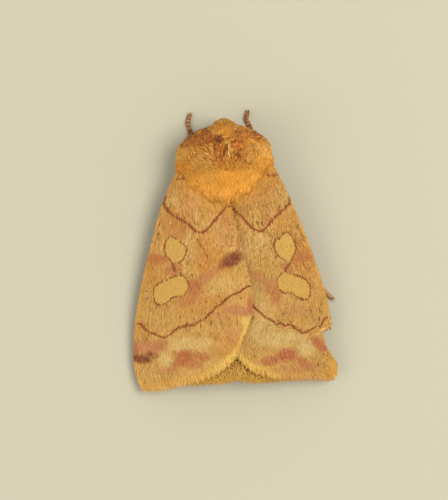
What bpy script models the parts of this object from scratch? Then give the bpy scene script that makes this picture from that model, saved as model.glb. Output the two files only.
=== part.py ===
"""Aspen twoleaf tier moth at rest with its wings folded like a roof, life size.

Sizes below are in millimetres. +Z is up, +Y is towards the head, +X is the moth's right.
"""

import math
import random
from itertools import combinations

import bmesh
import bpy
from mathutils import Matrix, Vector

MM = 0.001
GAP = 0.35  # clear space between touching pieces
UP = Vector((0, 0, 1))

# The roof that the folded wings make, as heights of its top above the floor.
RIDGE_HEIGHT = 5.0  # on the midline, level with the middle of the moth
RIDGE_RISE = 0.085  # for each millimetre towards the head
EAVE_HEIGHT = 1.62  # along the front edges of the wings
EAVE_RISE = 0.1
EAVE_CURL = 0.003
ROOF_HALF_WIDTH = 8.8
ROOF_WIDEST_Y = -10.0
ROOF_NARROWING = 0.0155
RIDGE_ROUNDING = 0.12
ROOF_CAMBER = 0.3

# Wings. A wing's plan points are (distance outwards from the midline, y).
WING_THICKNESS = 0.5
VEIN_HEIGHT = 0.14
FRINGE_TOOTH = 0.12
FOREWING_ROWS = 20
HINDWING_ROWS = 12
HINDWING_DROP = WING_THICKNESS + VEIN_HEIGHT + GAP + 0.03  # from the forewing's top to its own
FOREWING_COSTA = {
    -1: [(3.1, 7.3), (3.95, 6.8), (5.4, 4.1), (6.65, 0.6), (7.75, -3.0), (8.45, -5.9), (8.7, -8.5),
         (8.45, -9.9), (8.1, -11.2)],
    1: [(3.1, 7.3), (3.8, 6.85), (5.1, 3.8), (6.35, 0.0), (7.4, -4.0), (7.85, -7.0), (8.1, -9.4),
        (8.05, -10.4)],
}
FOREWING_INNER = [(2.85, 6.3), (2.63, 5.55), (1.95, 4.75), (0.6, 3.95), (-0.25, 2.6), (-0.95, -0.6),
                  (-1.35, -3.4), (-1.5, -5.7)]
FOREWING_TERMEN = {
    -1: [(8.1, -11.2), (6.7, -11.3), (5.0, -11.0), (2.95, -10.5), (1.25, -9.7), (0.1, -8.9), (-1.1, -7.3),
         (-1.5, -5.7)],
    1: [(8.05, -10.4), (7.75, -11.2), (6.9, -11.45), (5.2, -11.3), (3.3, -11.15), (2.2, -10.75),
        (1.1, -10.3), (0.2, -9.5), (-0.35, -8.6), (-1.2, -7.1), (-1.5, -5.7)],
}
HINDWING_COSTA = [(2.85, 4.5), (3.7, 2.7), (4.7, -0.6), (5.7, -4.4), (6.3, -7.8), (6.35, -9.7)]
HINDWING_INNER = [(2.25, 3.7), (2.32, 2.3), (2.25, -1.5), (2.0, -5.0), (1.45, -7.8), (0.75, -9.6),
                  (0.2, -10.4)]
HINDWING_TERMEN = [(6.35, -9.7), (5.6, -10.4), (4.3, -10.75), (2.8, -10.8), (1.3, -10.75), (0.2, -10.4)]
HINDWING_SLIP = {-1: 0.2, 1: -0.35}  # the left one lies a little further forward
# The torn nick in the right forewing, seen from above.
NICK = [(9.5, -7.0), (6.93, -7.07), (6.9, -7.8), (7.5, -9.2), (8.0, -9.85), (9.5, -9.9)]
OVERLAP_DIP = 1.05  # how far the right forewing passes under the left one
OVERLAP_RUN = 1.7
OVERLAP_FRONT_Y = 4.2

# Body.
THORAX_CENTRE = Vector((0, 6.3, 2.95))
THORAX_RADII = Vector((2.4, 2.9, 2.0))
THORAX_FRONT_Y = 8.25
THORAX_REAR_Y = 3.75
# The coat's edge seen from above, from the front round to the back, as (distance outwards, y).
COAT_EDGE = [(0, 10.3), (1.5, 10.15), (2.9, 9.45), (3.85, 8.4), (4.3, 7.3), (3.85, 6.4), (2.97, 5.7),
             (2.1, 4.85), (1.2, 4.1), (0, 3.5)]
COAT_TOP = 6.35
COAT_FALL = 0.13  # the coat's top sinks by this much times the square of the distance from its middle
COAT_CLEARANCE = 0.08  # above the wings, beyond the gap
WING_ROOTS_FRONT_Y = 8.8
BARE_MIDDLE_Y = 7.0  # round this point no wing lies under the coat
BARE_MIDDLE_RADIUS = 1.6
COAT_MIDDLE = Vector((0, 6.3, 0))
COAT_ROOTS = Vector((0, 6.75, 0))
COAT_ROOT_RADIUS = 2.2
COAT_SEED = 7
# Rings of locks that stream outwards: how many, reach as a share of the edge's, lift, roots' share, width.
COAT_RINGS = [(26, 1.0, 0.0, 0.66, 1.2), (20, 0.8, 0.2, 0.55, 1.15), (14, 0.62, 0.32, 0.45, 1.15)]
# Rows of locks that lie backwards over the crown: y of their roots and how many.
CROWN_ROWS = [(7.95, 4), (7.5, 5), (6.95, 5), (6.4, 4)]
CROWN_SPACING = 0.62
CROWN_LENGTH = 2.0
CROWN_SPREAD = 0.5
CROWN_LIFT = 0.42
CROWN_WIDTH = 1.05
LOCK_THICKNESS = 0.5
LOCK_ROOT = 0.45  # how deep a lock is sunk in the body
LOCK_CUTS = (0.4, 0.78)
LOCK_SWELL = 0.55
HEAD_CENTRE = Vector((0, 9.2, 2.7))
HEAD_RADII = Vector((1.25, 0.8, 1.25))
HEAD_LOCKS = 5
HEAD_LOCK_WIDTH = 0.75
HEAD_FAN = 42  # degrees to each side
HEAD_CROWN = Vector((0, 9.05, 0))
HEAD_LOCK = [(0.3, 3.35), (0.8, 3.8), (1.66, 3.55)]  # distance from the crown, seen from above, and height
EYE_RADIUS = 0.75
EYE_CENTRE = Vector((1.25, 9.3, 2.6))
ABDOMEN_FRONT_Y = THORAX_REAR_Y - GAP
ABDOMEN_TIP_Y = -9.6
ABDOMEN_SEGMENTS = 7
ABDOMEN_RADIUS = 1.7
ABDOMEN_FLATNESS = 0.78
ABDOMEN_HEIGHT = 1.75
ABDOMEN_DROOP = 0.55
ABDOMEN_RING_DEPTH = 0.06
ABDOMEN_FULLNESS = 2.6  # the higher, the blunter its tip
TAIL_LOCKS = 5
TAIL_LOCK_WIDTH = 0.65

# Legs: for each pair the hip, as a direction from the middle of the thorax, then for the left and the right
# one its knee, ankle, start of the foot and claw, as (distance outwards, y, height).
THIGH_RADII = [0.3, 0.34, 0.36, 0.28]
SHIN_RADII = [0.27, 0.31, 0.25]
FOOT_RADIUS = 0.22
FOOT_HEIGHT = FOOT_RADIUS
FOOT_SWELL = 0.05  # by which each joint of the foot is thicker in its middle
SPUR_LENGTH = 0.85
SPUR_WIDTH = 0.4
FOOT_JOINTS = 5
SPURS = {"foreleg": [], "midleg": [-0.5, 0.5], "hindleg": [-0.5, 0.5]}  # radians from the foot's line
LEGS = {
    "foreleg": (
        (0.55, 0.55, -0.9),
        {
            -1: [(2.1, 8.4, 1.1), (2.6, 9.4, 0.75), (2.7, 9.9, FOOT_HEIGHT), (2.75, 11.3, FOOT_HEIGHT)],
            1: [(1.9, 8.5, 1.1), (2.25, 9.45, 0.75), (2.25, 9.95, FOOT_HEIGHT), (2.1, 11.2, FOOT_HEIGHT)],
        },
    ),
    "midleg": (
        (0.8, -0.05, -0.75),
        {
            -1: [(3.0, 5.7, 1.15), (4.4, 3.4, 0.75), (4.8, 2.6, FOOT_HEIGHT), (5.8, 0.0, FOOT_HEIGHT)],
            1: [(3.0, 5.7, 1.15), (4.4, 3.4, 0.75), (4.8, 2.6, FOOT_HEIGHT), (5.7, -0.1, FOOT_HEIGHT)],
        },
    ),
    "hindleg": (
        (0.65, -0.62, -0.8),
        {
            -1: [(2.9, 2.6, 1.05), (4.7, -1.8, 0.65), (5.1, -2.8, FOOT_HEIGHT), (6.0, -6.2, FOOT_HEIGHT)],
            1: [(2.9, 2.6, 1.05), (5.2, -1.5, 0.65), (5.8, -2.3, FOOT_HEIGHT), (8.1, -4.8, FOOT_HEIGHT)],
        },
    ),
}
PALP = [(0.48, 10.5, 2.3), (0.44, 10.5, 2.95)]
PALP_RADII = [0.24, 0.26, 0.25, 0.18]
ANTENNA_KNOTS = 26
ANTENNA_RADIUS = 0.26
ANTENNA_THINNING = 0.09  # from its root to its tip
ANTENNA = [(1.6, 8.95, 3.95), (2.3, 8.75, 3.45), (2.85, 8.3, 2.75), (3.35, 7.3, 2.1), (4.0, 6.0, 1.8),
           (4.55, 4.0, 1.6), (4.9, 1.6, 1.5)]


def clear_scene():
    for obj in list(bpy.data.objects):
        bpy.data.objects.remove(obj, do_unlink=True)


def new_collection(name):
    made = bpy.data.collections.new(name)
    bpy.context.scene.collection.children.link(made)
    return made


def new_material(name, colour, roughness):
    made = bpy.data.materials.new(name)
    made.use_nodes = True
    shader = made.node_tree.nodes["Principled BSDF"]
    shader.inputs["Base Color"].default_value = (*colour, 1)
    shader.inputs["Roughness"].default_value = roughness
    shader.inputs["Metallic"].default_value = 0
    return made


def smooth_step(value):
    held = min(1.0, max(0.0, value))
    return held * held * (3 - 2 * held)


def along_curve(points, share):
    """The point at this share of a smooth curve through the points, spaced by the distance between them."""
    spots = [Vector(p) for p in points]
    runs = [0.0]
    for before, after in zip(spots, spots[1:]):
        runs.append(runs[-1] + (after - before).length)
    want = min(1.0, max(0.0, share)) * runs[-1]
    i = max(k for k in range(len(spots) - 1) if runs[k] <= want)
    t = (want - runs[i]) / (runs[i + 1] - runs[i])
    a, b = spots[i], spots[i + 1]
    before = spots[i - 1] if i else a * 2 - b
    after = spots[i + 2] if i + 2 < len(spots) else b * 2 - a
    return 0.5 * (2 * a + (b - before) * t + (2 * before - 5 * a + 4 * b - after) * t**2
                  + (3 * a - before - 3 * b + after) * t**3)


LEFT_MARGIN = [Vector((-1, 1)) * along_curve(FOREWING_INNER, k / 30) for k in range(31)]


def roof_height(x, y):
    """Top of the folded wings above the floor."""
    ridge = RIDGE_HEIGHT + RIDGE_RISE * y
    eave = EAVE_HEIGHT + EAVE_RISE * y + EAVE_CURL * y * y
    half_width = ROOF_HALF_WIDTH - ROOF_NARROWING * (y - ROOF_WIDEST_Y) ** 2
    q = abs(x) / half_width
    r = RIDGE_ROUNDING
    fall = (math.hypot(q, r) - r) / (math.hypot(1, r) - r)
    return ridge - (ridge - eave) * fall + ROOF_CAMBER * 4 * q * (1 - q)


def left_margin_x(y):
    """How far the left forewing reaches across the midline at y."""
    for ahead, behind in zip(LEFT_MARGIN, LEFT_MARGIN[1:]):
        if ahead.y >= y >= behind.y:
            return ahead.lerp(behind, (ahead.y - y) / (ahead.y - behind.y)).x
    return LEFT_MARGIN[0].x if y > LEFT_MARGIN[0].y else LEFT_MARGIN[-1].x


def wing_height(side, x, y):
    """Top of the forewing on this side, which is -1 for the left and 1 for the right."""
    height = roof_height(x, y)
    if side < 0:
        return height
    under = 1 - smooth_step((x - max(0, left_margin_x(y)) - 0.4) / OVERLAP_RUN)
    behind = smooth_step((OVERLAP_FRONT_Y - y) / 1.2)
    return height - OVERLAP_DIP * under * behind


def hindwing_height(side, x, y):
    """Top of the hindwing, which lies a gap below the forewing's underside."""
    step = 0.05
    here = wing_height(side, x, y)
    slope_x = (wing_height(side, x + step, y) - wing_height(side, x - step, y)) / (2 * step)
    slope_y = (wing_height(side, x, y + step) - wing_height(side, x, y - step)) / (2 * step)
    return here - HINDWING_DROP * math.sqrt(1 + slope_x**2 + slope_y**2)


class Vein:
    """A vein's place across the wing, 0 at the front edge, at its root and its end, and where it shows."""

    def __init__(self, root, end, leaves=0.0, starts=0.0, stops=1.01):
        self.root, self.end, self.leaves, self.starts, self.stops = root, end, leaves, starts, stops

    def place(self, share):
        return self.root + (self.end - self.root) * smooth_step((share - self.leaves) / (1.001 - self.leaves))

    def height(self, share):
        return VEIN_HEIGHT if self.starts <= share <= self.stops else 0.0


# Front to back: subcosta, radius, medians 1 to 3, cubitus with its two branches, and the anal vein.
CELL_END = 0.56
FOREWING_VEINS = [
    Vein(0.07, 0.045, stops=0.62),
    Vein(0.17, 0.11),
    Vein(0.23, 0.22, starts=CELL_END),
    Vein(0.36, 0.345, starts=CELL_END),
    Vein(0.46, 0.475, starts=CELL_END),
    Vein(0.52, 0.6, leaves=0.4),
    Vein(0.58, 0.74, leaves=0.25, starts=0.42),
    Vein(0.86, 0.91),
]
HINDWING_VEINS = [
    Vein(0.1, 0.1),
    Vein(0.3, 0.3),
    Vein(0.45, 0.47, starts=0.5),
    Vein(0.55, 0.62),
    Vein(0.68, 0.78, leaves=0.3),
    Vein(0.9, 0.92),
]


def wing_plan(costa, inner, termen, share, across):
    """A point of the wing seen from above. share runs from the root outwards, across from the front edge."""
    front, back = along_curve(costa, share), along_curve(inner, share)
    straight = front.lerp(back, across)
    bulge = along_curve(termen, across) - along_curve(costa, 1).lerp(along_curve(inner, 1), across)
    return straight + bulge * share**3


def wing_columns(veins):
    """Functions of share that place the grid's columns: both edges, the veins and the valleys."""
    edges = [Vein(0, 0), *veins, Vein(1, 1)]
    columns = []
    for before, after in zip(edges, edges[1:]):
        columns.append((before.place, before.height if before in veins else lambda share: 0.0))
        valley = lambda share, a=before, b=after: (a.place(share) + b.place(share)) / 2
        columns.append((valley, lambda share: 0.0))
    columns.append((edges[-1].place, lambda share: 0.0))
    return columns


def make_wing(name, side, curves, veins, rows, height, slip, material):
    """A thin curved plate: a flat grid moved to the roof and thickened, its veins then raised on top."""
    columns = wing_columns(veins)
    grid = bmesh.new()
    bmesh.ops.create_grid(grid, x_segments=rows, y_segments=len(columns) - 1, size=0.5)
    ridges = []
    for vertex in grid.verts:
        share = vertex.co.x + 0.5
        column = round((vertex.co.y + 0.5) * (len(columns) - 1))
        place, ridge = columns[column]
        spot = wing_plan(*curves, share, place(share))
        if share > 0.999 and column % 2 == 0:
            spot.y -= FRINGE_TOOTH
        x, y = side * spot.x, spot.y + slip
        vertex.co = Vector((x, y, height(side, x, y))) * MM
        is_cross_vein = abs(share - CELL_END) < 0.5 / rows and 0.17 < place(share) < 0.5
        inside = 0.02 < share < 0.98
        ridges.append(max(ridge(share), VEIN_HEIGHT if is_cross_vein else 0.0) if inside else 0.0)
    bmesh.ops.triangulate(grid, faces=grid.faces[:], quad_method="FIXED")
    bmesh.ops.recalc_face_normals(grid, faces=grid.faces[:])
    if sum(face.normal.z for face in grid.faces) < 0:
        bmesh.ops.reverse_faces(grid, faces=grid.faces[:])
    sheet = object_from(name + "_sheet", grid, material, scale=1.0)
    solidify = sheet.modifiers.new("thickness", "SOLIDIFY")
    solidify.thickness = WING_THICKNESS * MM
    solidify.offset = -1
    wing = applied(sheet, name)
    for vertex, ridge in zip(wing.data.vertices, ridges):
        vertex.co.z += ridge * MM
    return wing


def object_from(name, bm, material, scale=MM):
    """A new object with the bmesh's shape, from millimetres to metres."""
    mesh = bpy.data.meshes.new(name)
    bmesh.ops.scale(bm, vec=(scale, scale, scale), verts=bm.verts[:])
    bm.to_mesh(mesh)
    bm.free()
    made = bpy.data.objects.new(name, mesh)
    made.data.materials.append(material)
    MOTH.objects.link(made)
    made.parent = ROOT
    return made


def applied(obj, name):
    """A mesh object with the modifiers of obj, or the tube of a curve, made real; obj is removed."""
    bpy.context.view_layer.update()
    graph = bpy.context.evaluated_depsgraph_get()
    mesh = bpy.data.meshes.new_from_object(obj.evaluated_get(graph))
    world = obj.matrix_world.copy()
    material = obj.data.materials[0]
    bpy.data.objects.remove(obj, do_unlink=True)
    made = bpy.data.objects.new(name, mesh)
    mesh.name = name
    mesh.materials.clear()
    mesh.materials.append(material)
    MOTH.objects.link(made)
    made.parent = ROOT
    made.matrix_world = world
    return made


def ball(name, centre, radii, material, rings=12, around=20, shape=None):
    """An ellipsoid. shape moves each point, given in millimetres, where it is not a plain one."""
    bm = bmesh.new()
    bmesh.ops.create_uvsphere(bm, u_segments=around, v_segments=rings, radius=1)
    for vertex in bm.verts:
        spot = Vector([c + v * r for c, v, r in zip(centre, vertex.co, radii)])
        vertex.co = shape(spot) if shape else spot
    return object_from(name, bm, material)


def tube(name, points, radii, material, sides=2):
    """A round limb through the points, with its own radius at each."""
    curve = bpy.data.curves.new(name, "CURVE")
    curve.dimensions = "3D"
    curve.bevel_depth = MM
    curve.bevel_resolution = sides
    curve.use_fill_caps = True
    spline = curve.splines.new("POLY")
    spline.points.add(len(points) - 1)
    for knot, spot, radius in zip(spline.points, points, radii):
        knot.co = (*(Vector(spot) * MM), 1)
        knot.radius = radius
    obj = bpy.data.objects.new(name, curve)
    curve.materials.append(material)
    MOTH.objects.link(obj)
    obj.parent = ROOT
    return mended(applied(obj, name))


def fuse(name, pieces, material):
    """One closed body from overlapping ones. Only its largest surface is kept."""
    first, others = pieces[0], pieces[1:]
    group = bpy.data.collections.new(name + "_pieces")
    for piece in others:
        group.objects.link(piece)
    union = first.modifiers.new("union", "BOOLEAN")
    union.operation = "UNION"
    union.operand_type = "COLLECTION"
    union.collection = group
    union.solver = "MANIFOLD"
    made = applied(first, name)
    for piece in others:
        bpy.data.objects.remove(piece, do_unlink=True)
    bpy.data.collections.remove(group)
    keep_largest(made)
    split_faces(made)
    made.data.materials.clear()
    made.data.materials.append(material)
    return made


def keep_largest(obj):
    bm = bmesh.new()
    bm.from_mesh(obj.data)
    unseen, shells = set(bm.verts), []
    while unseen:
        front = [unseen.pop()]
        shell = set(front)
        while front:
            for edge in front.pop().link_edges:
                for vertex in edge.verts:
                    if vertex in unseen:
                        unseen.discard(vertex)
                        shell.add(vertex)
                        front.append(vertex)
        shells.append(shell)
    largest = max(shells, key=len)
    bmesh.ops.delete(bm, geom=[v for v in bm.verts if v not in largest], context="VERTS")
    bm.to_mesh(obj.data)
    bm.free()


def split_faces(obj):
    """Splits the faces into triangles, no two of which share a diagonal with those of another face."""
    bm = bmesh.new()
    bm.from_mesh(obj.data)
    bmesh.ops.triangulate(bm, faces=bm.faces[:])
    for edge in [e for e in bm.edges if len(e.link_faces) > 2]:
        pairs = sorted(combinations(edge.link_faces, 2), key=lambda pair: -pair[0].normal.dot(pair[1].normal))
        next((pair for pair in pairs if turn_diagonal(bm, edge, *pair)), None)
    bm.to_mesh(obj.data)
    bm.free()


def turn_diagonal(bm, edge, one, other):
    """Gives two triangles the other diagonal of the four-sided face that they make, if that one is free."""
    a, b = edge.verts
    if next(loop for loop in one.loops if loop.vert == a).link_loop_next.vert != b:
        a, b = b, a
    if next(loop for loop in other.loops if loop.vert == b).link_loop_next.vert != a:
        return False
    c = next(vertex for vertex in one.verts if vertex not in edge.verts)
    d = next(vertex for vertex in other.verts if vertex not in edge.verts)
    faces_up = all((q.co - p.co).cross(r.co - p.co).dot(one.normal) > 0 for p, q, r in ((c, a, d), (d, b, c)))
    if not faces_up or bm.edges.get((c, d)):
        return False
    bm.faces.remove(one)
    bm.faces.remove(other)
    for corners in ((c, a, d), (d, b, c)):
        bm.faces.new(corners).normal_update()
    return True


def upright_prism(name, outline, material):
    """A tall block whose outline, seen from above, is the given one."""
    curve = bpy.data.curves.new(name, "CURVE")
    curve.dimensions = "2D"
    curve.fill_mode = "BOTH"
    curve.extrude = 10 * MM
    spline = curve.splines.new("POLY")
    spline.points.add(len(outline) - 1)
    spline.use_cyclic_u = True
    for knot, (x, y) in zip(spline.points, outline):
        knot.co = (x * MM, y * MM, 0, 1)
    obj = bpy.data.objects.new(name, curve)
    curve.materials.append(material)
    MOTH.objects.link(obj)
    return mended(applied(obj, name))


def mended(obj):
    """Welds the loose caps of what was a curve and turns its faces outwards."""
    bm = bmesh.new()
    bm.from_mesh(obj.data)
    bmesh.ops.remove_doubles(bm, verts=bm.verts[:], dist=1e-6)
    bmesh.ops.recalc_face_normals(bm, faces=bm.faces[:])
    bm.to_mesh(obj.data)
    bm.free()
    return obj


def cut(obj, cutter):
    """Removes the cutter's shape from obj."""
    name = obj.name
    difference = obj.modifiers.new("cut", "BOOLEAN")
    difference.operation = "DIFFERENCE"
    difference.object = cutter
    made = applied(obj, name)
    bpy.data.objects.remove(cutter, do_unlink=True)
    made.name = name
    return made


def lock(path, width, thickness, roll, material):
    """A flat, tapered tuft of hair that bends along the path, with its blunt end at the path's start."""
    bm = bmesh.new()
    bmesh.ops.create_cone(bm, cap_ends=True, segments=4, radius1=math.sqrt(0.5), radius2=0, depth=1)
    bmesh.ops.rotate(bm, verts=bm.verts[:], matrix=Matrix.Rotation(math.pi / 4, 3, "Z"))
    bmesh.ops.translate(bm, verts=bm.verts[:], vec=(0, 0, 0.5))
    for cut_at in LOCK_CUTS:
        everything = bm.verts[:] + bm.edges[:] + bm.faces[:]
        bmesh.ops.bisect_plane(bm, geom=everything, plane_co=(0, 0, cut_at), plane_no=UP)
    for vertex in bm.verts:
        share = vertex.co.z
        spot = along_curve(path, share)
        ahead = (along_curve(path, share + 0.02) - along_curve(path, share - 0.02)).normalized()
        sideways = Matrix.Rotation(roll, 3, ahead) @ ahead.cross(UP).normalized()
        half = 0.5 * (1 - share) or 1.0
        across, through = vertex.co.x / half, vertex.co.y / half
        swell = LOCK_SWELL * math.sqrt(share) + 1 - LOCK_SWELL
        taper = swell * (1 - share**4)
        upwards = ahead.cross(sideways)
        vertex.co = spot + (sideways * across * width + upwards * through * thickness) * taper / 2
    return object_from("lock", bm, material)


def coat_floor(x, y):
    """Where the middle of the lowest locks lies: a dome that keeps clear above the wings."""
    dome = COAT_TOP - COAT_FALL * (x**2 + (y - THORAX_CENTRE.y) ** 2)
    clear = roof_height(x, y) + VEIN_HEIGHT + GAP + LOCK_THICKNESS / 2 + COAT_CLEARANCE
    from_middle = math.hypot(x, 1.2 * (y - BARE_MIDDLE_Y))
    over_wings = smooth_step((WING_ROOTS_FRONT_Y - y) / 0.8)
    over_wings *= smooth_step((from_middle - BARE_MIDDLE_RADIUS) / 0.8)
    return dome + max(0.0, clear - dome) * over_wings


def coat_lock(root, tip, lift, width, draw, material):
    """A lock between two points seen from above: out of the core, up to the coat's top and along it."""
    out = Vector((root.x / THORAX_RADII.x, (root.y - THORAX_CENTRE.y) / THORAX_RADII.y)).length
    root.z = THORAX_CENTRE.z + THORAX_RADII.z * math.sqrt(max(0.05, 1 - out**2)) - LOCK_ROOT
    rise, middle = root.lerp(tip, 0.12), root.lerp(tip, 0.55)
    raised = lift + draw.uniform(-0.05, 0.05)
    tip.z = coat_floor(tip.x, tip.y) + raised
    middle.z = coat_floor(middle.x, middle.y) + raised
    rise.z = root.z + 0.8 * (middle.z - root.z)
    return lock([root, rise, middle, tip], width, LOCK_THICKNESS, draw.uniform(-0.15, 0.15), material)


def thorax_locks(draw, material):
    """Rings that stream outwards over the head and the wing bases, and rows that lie back over the crown."""
    made = []
    for count, reach, lift, root_share, width in COAT_RINGS:
        for k in range(count):
            share = 2 * (k + 0.5 + draw.uniform(-0.15, 0.15)) / count - 1
            edge = along_curve(COAT_EDGE, abs(share))
            edge = Vector((math.copysign(edge.x, share), edge.y, 0))
            root = COAT_ROOTS + (edge - COAT_ROOTS).normalized() * COAT_ROOT_RADIUS * root_share
            tip = COAT_MIDDLE + (edge - COAT_MIDDLE) * reach * draw.uniform(0.96, 1.01)
            made.append(coat_lock(root, tip, lift, width, draw, material))
    for y, count in CROWN_ROWS:
        for k in range(count):
            x = CROWN_SPACING * (k - (count - 1) / 2 + draw.uniform(-0.1, 0.1))
            root = Vector((x, y, 0))
            tip = Vector((x * (1 + CROWN_SPREAD), y - CROWN_LENGTH * draw.uniform(0.85, 1), 0))
            made.append(coat_lock(root, tip, CROWN_LIFT, CROWN_WIDTH, draw, material))
    return made


def make_thorax(material):
    def core(spot):
        return Vector((spot.x, min(THORAX_FRONT_Y, max(THORAX_REAR_Y, spot.y)), spot.z))

    body = ball("thorax_core", THORAX_CENTRE, THORAX_RADII, material, 12, 20, core)
    return fuse("thorax", [body, *thorax_locks(random.Random(COAT_SEED), material)], material)


def make_head(material):
    def skull(spot):
        return Vector((spot.x, max(THORAX_FRONT_Y + GAP, spot.y), spot.z))

    head = ball("head", HEAD_CENTRE, HEAD_RADII, material, 12, 20, skull)
    for side in (-1, 1):
        centre = Vector((side * EYE_CENTRE.x, EYE_CENTRE.y, EYE_CENTRE.z))
        socket = ball("socket", centre, Vector([EYE_RADIUS + GAP] * 3), material)
        head = cut(head, socket)
    locks = []
    for k in range(HEAD_LOCKS):
        angle = math.radians(HEAD_FAN) * (2 * k / (HEAD_LOCKS - 1) - 1)
        heading = Vector((math.sin(angle), math.cos(angle), 0))
        root, middle, tip = (HEAD_CROWN + heading * reach + UP * height for reach, height in HEAD_LOCK)
        locks.append(lock([root, middle, tip], HEAD_LOCK_WIDTH, LOCK_THICKNESS, 0, material))
    return fuse("head", [head, *locks], material)


def make_abdomen(material):
    """A turned, ringed body, flattened a little and drooping towards its tip."""
    length = ABDOMEN_FRONT_Y - ABDOMEN_TIP_Y
    bm = bmesh.new()
    stations = ABDOMEN_SEGMENTS * 2
    profile = []
    for k in range(stations + 1):
        share = k / stations
        radius = ABDOMEN_RADIUS * math.sqrt(max(0.0, 1 - share**ABDOMEN_FULLNESS)) + 0.02
        is_groove = k % 2 and share < 0.95
        profile.append((radius - (ABDOMEN_RING_DEPTH if is_groove else 0.0), share * length))
    before = bm.verts.new((0, 0, 0))
    for radius, depth in profile:
        after = bm.verts.new((radius, 0, -depth))
        bm.edges.new((before, after))
        before = after
    bm.edges.new((before, bm.verts.new((0, 0, -length - 0.1))))
    turned = object_from("abdomen_turned", bm, material)
    screw = turned.modifiers.new("turn", "SCREW")
    screw.steps = screw.render_steps = 20
    screw.use_merge_vertices = True
    screw.merge_threshold = 1e-6
    abdomen = applied(turned, "abdomen")
    for vertex in abdomen.data.vertices:
        x, up, back = vertex.co / MM
        share = -back / length
        middle = ABDOMEN_HEIGHT - ABDOMEN_DROOP * share
        vertex.co = Vector((x, ABDOMEN_FRONT_Y + back, middle + up * ABDOMEN_FLATNESS)) * MM
    tip = Vector((0, ABDOMEN_TIP_Y, ABDOMEN_HEIGHT - ABDOMEN_DROOP))
    tuft = []
    for k in range(TAIL_LOCKS):
        lean = k / (TAIL_LOCKS - 1) - 0.5
        steps = [(0.4 * lean, 1.3, 0.0), (0.8 * lean, 0.5, -0.05), (1.2 * lean, -0.4, -0.2)]
        path = [tip + Vector(step) for step in steps]
        tuft.append(lock(path, TAIL_LOCK_WIDTH, LOCK_THICKNESS, 0, material))
    return fuse("abdomen", [mended(abdomen), *tuft], material)


def off_ellipsoid(centre, radii, direction, lift):
    """A point above an ellipsoid's surface in this direction from its centre, and the way up there."""
    scaled = Vector([d / r for d, r in zip(direction, radii)])
    surface = centre + Vector(direction) / scaled.length
    normal = Vector([(s - c) / r**2 for s, c, r in zip(surface, centre, radii)]).normalized()
    return surface + normal * lift, normal


def make_leg(name, side, direction, joints, spurs, material):
    direction = Vector((side * direction[0], *direction[1:]))
    hip, outwards = off_ellipsoid(THORAX_CENTRE, THORAX_RADII, direction, GAP)
    knee, ankle, foot, claw = (Vector((side * x, y, z)) for x, y, z in joints)
    thigh = hip + outwards * 0.3
    pieces = [
        tube(name, [hip, thigh, thigh.lerp(knee, 0.5), knee], THIGH_RADII, material),
        tube("shin", [knee, knee.lerp(ankle, 0.6), ankle], SHIN_RADII, material),
    ]
    beads = [foot.lerp(claw, k / (2 * FOOT_JOINTS)) for k in range(2 * FOOT_JOINTS + 1)]
    radii = [FOOT_RADIUS, *[FOOT_RADIUS + FOOT_SWELL * (k % 2) for k in range(len(beads))]]
    pieces.append(tube("foot", [ankle, *beads], radii, material, 1))
    for spread in spurs:
        turned = Matrix.Rotation(side * spread, 3, "Z") @ (foot - ankle).normalized()
        spur = turned * SPUR_LENGTH
        path = [ankle.lerp(knee, 0.08), ankle + spur / 2, ankle + spur - UP * 0.1]
        pieces.append(lock(path, SPUR_WIDTH, SPUR_WIDTH, 0, material))
    leg = fuse(name, pieces, material)
    for vertex in leg.data.vertices:
        vertex.co.z = max(0.0, vertex.co.z)
    return leg


def make_antenna(name, side, material):
    base, outwards = off_ellipsoid(HEAD_CENTRE, HEAD_RADII, Vector((side * 0.74, -0.06, 1.0)), GAP)
    path = [base, base + outwards * 0.12, *[Vector((side * x, y, z)) for x, y, z in ANTENNA]]
    shares = [k / ANTENNA_KNOTS for k in range(ANTENNA_KNOTS + 1)]
    radii = [ANTENNA_RADIUS - ANTENNA_THINNING * share**3 for share in shares]
    return tube(name, [along_curve(path, share) for share in shares], radii, material, 1)


def make_palp(name, side, material):
    base, outwards = off_ellipsoid(HEAD_CENTRE, HEAD_RADII, Vector((side * 0.4, 0.62, -0.7)), GAP)
    path = [base, base + outwards * 0.18, *[Vector((side * x, y, z)) for x, y, z in PALP]]
    return tube(name, path, PALP_RADII, material)


def main():
    scales = new_material("ochre_wing_scales", (0.62, 0.42, 0.17), 0.8)
    under = new_material("shaded_hindwing_scales", (0.55, 0.36, 0.13), 0.8)
    coat = new_material("golden_thorax_hair", (0.66, 0.36, 0.08), 0.85)
    rust = new_material("rusty_head_hair", (0.5, 0.22, 0.05), 0.85)
    limb = new_material("tan_leg_scales", (0.5, 0.25, 0.12), 0.75)
    eye = new_material("dark_eye", (0.05, 0.03, 0.02), 0.2)

    make_thorax(coat)
    make_head(rust)
    make_abdomen(coat)
    hindwing = (HINDWING_COSTA, HINDWING_INNER, HINDWING_TERMEN)
    for side, word in ((-1, "left"), (1, "right")):
        forewing = (FOREWING_COSTA[side], FOREWING_INNER, FOREWING_TERMEN[side])
        make_wing("forewing_" + word, side, forewing, FOREWING_VEINS, FOREWING_ROWS, wing_height, 0, scales)
        slip = HINDWING_SLIP[side]
        make_wing(
            "hindwing_" + word, side, hindwing, HINDWING_VEINS, HINDWING_ROWS, hindwing_height, slip, under)
        centre = Vector((side * EYE_CENTRE.x, EYE_CENTRE.y, EYE_CENTRE.z))
        ball("eye_" + word, centre, Vector([EYE_RADIUS] * 3), eye, 10, 16)
        make_antenna("antenna_" + word, side, limb)
        make_palp("palp_" + word, side, rust)
        for leg, (hip, joints) in LEGS.items():
            make_leg(f"{leg}_{word}", side, hip, joints[side], SPURS[leg], limb)
    cut(bpy.data.objects["forewing_right"], upright_prism("nick", NICK, scales))


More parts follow.
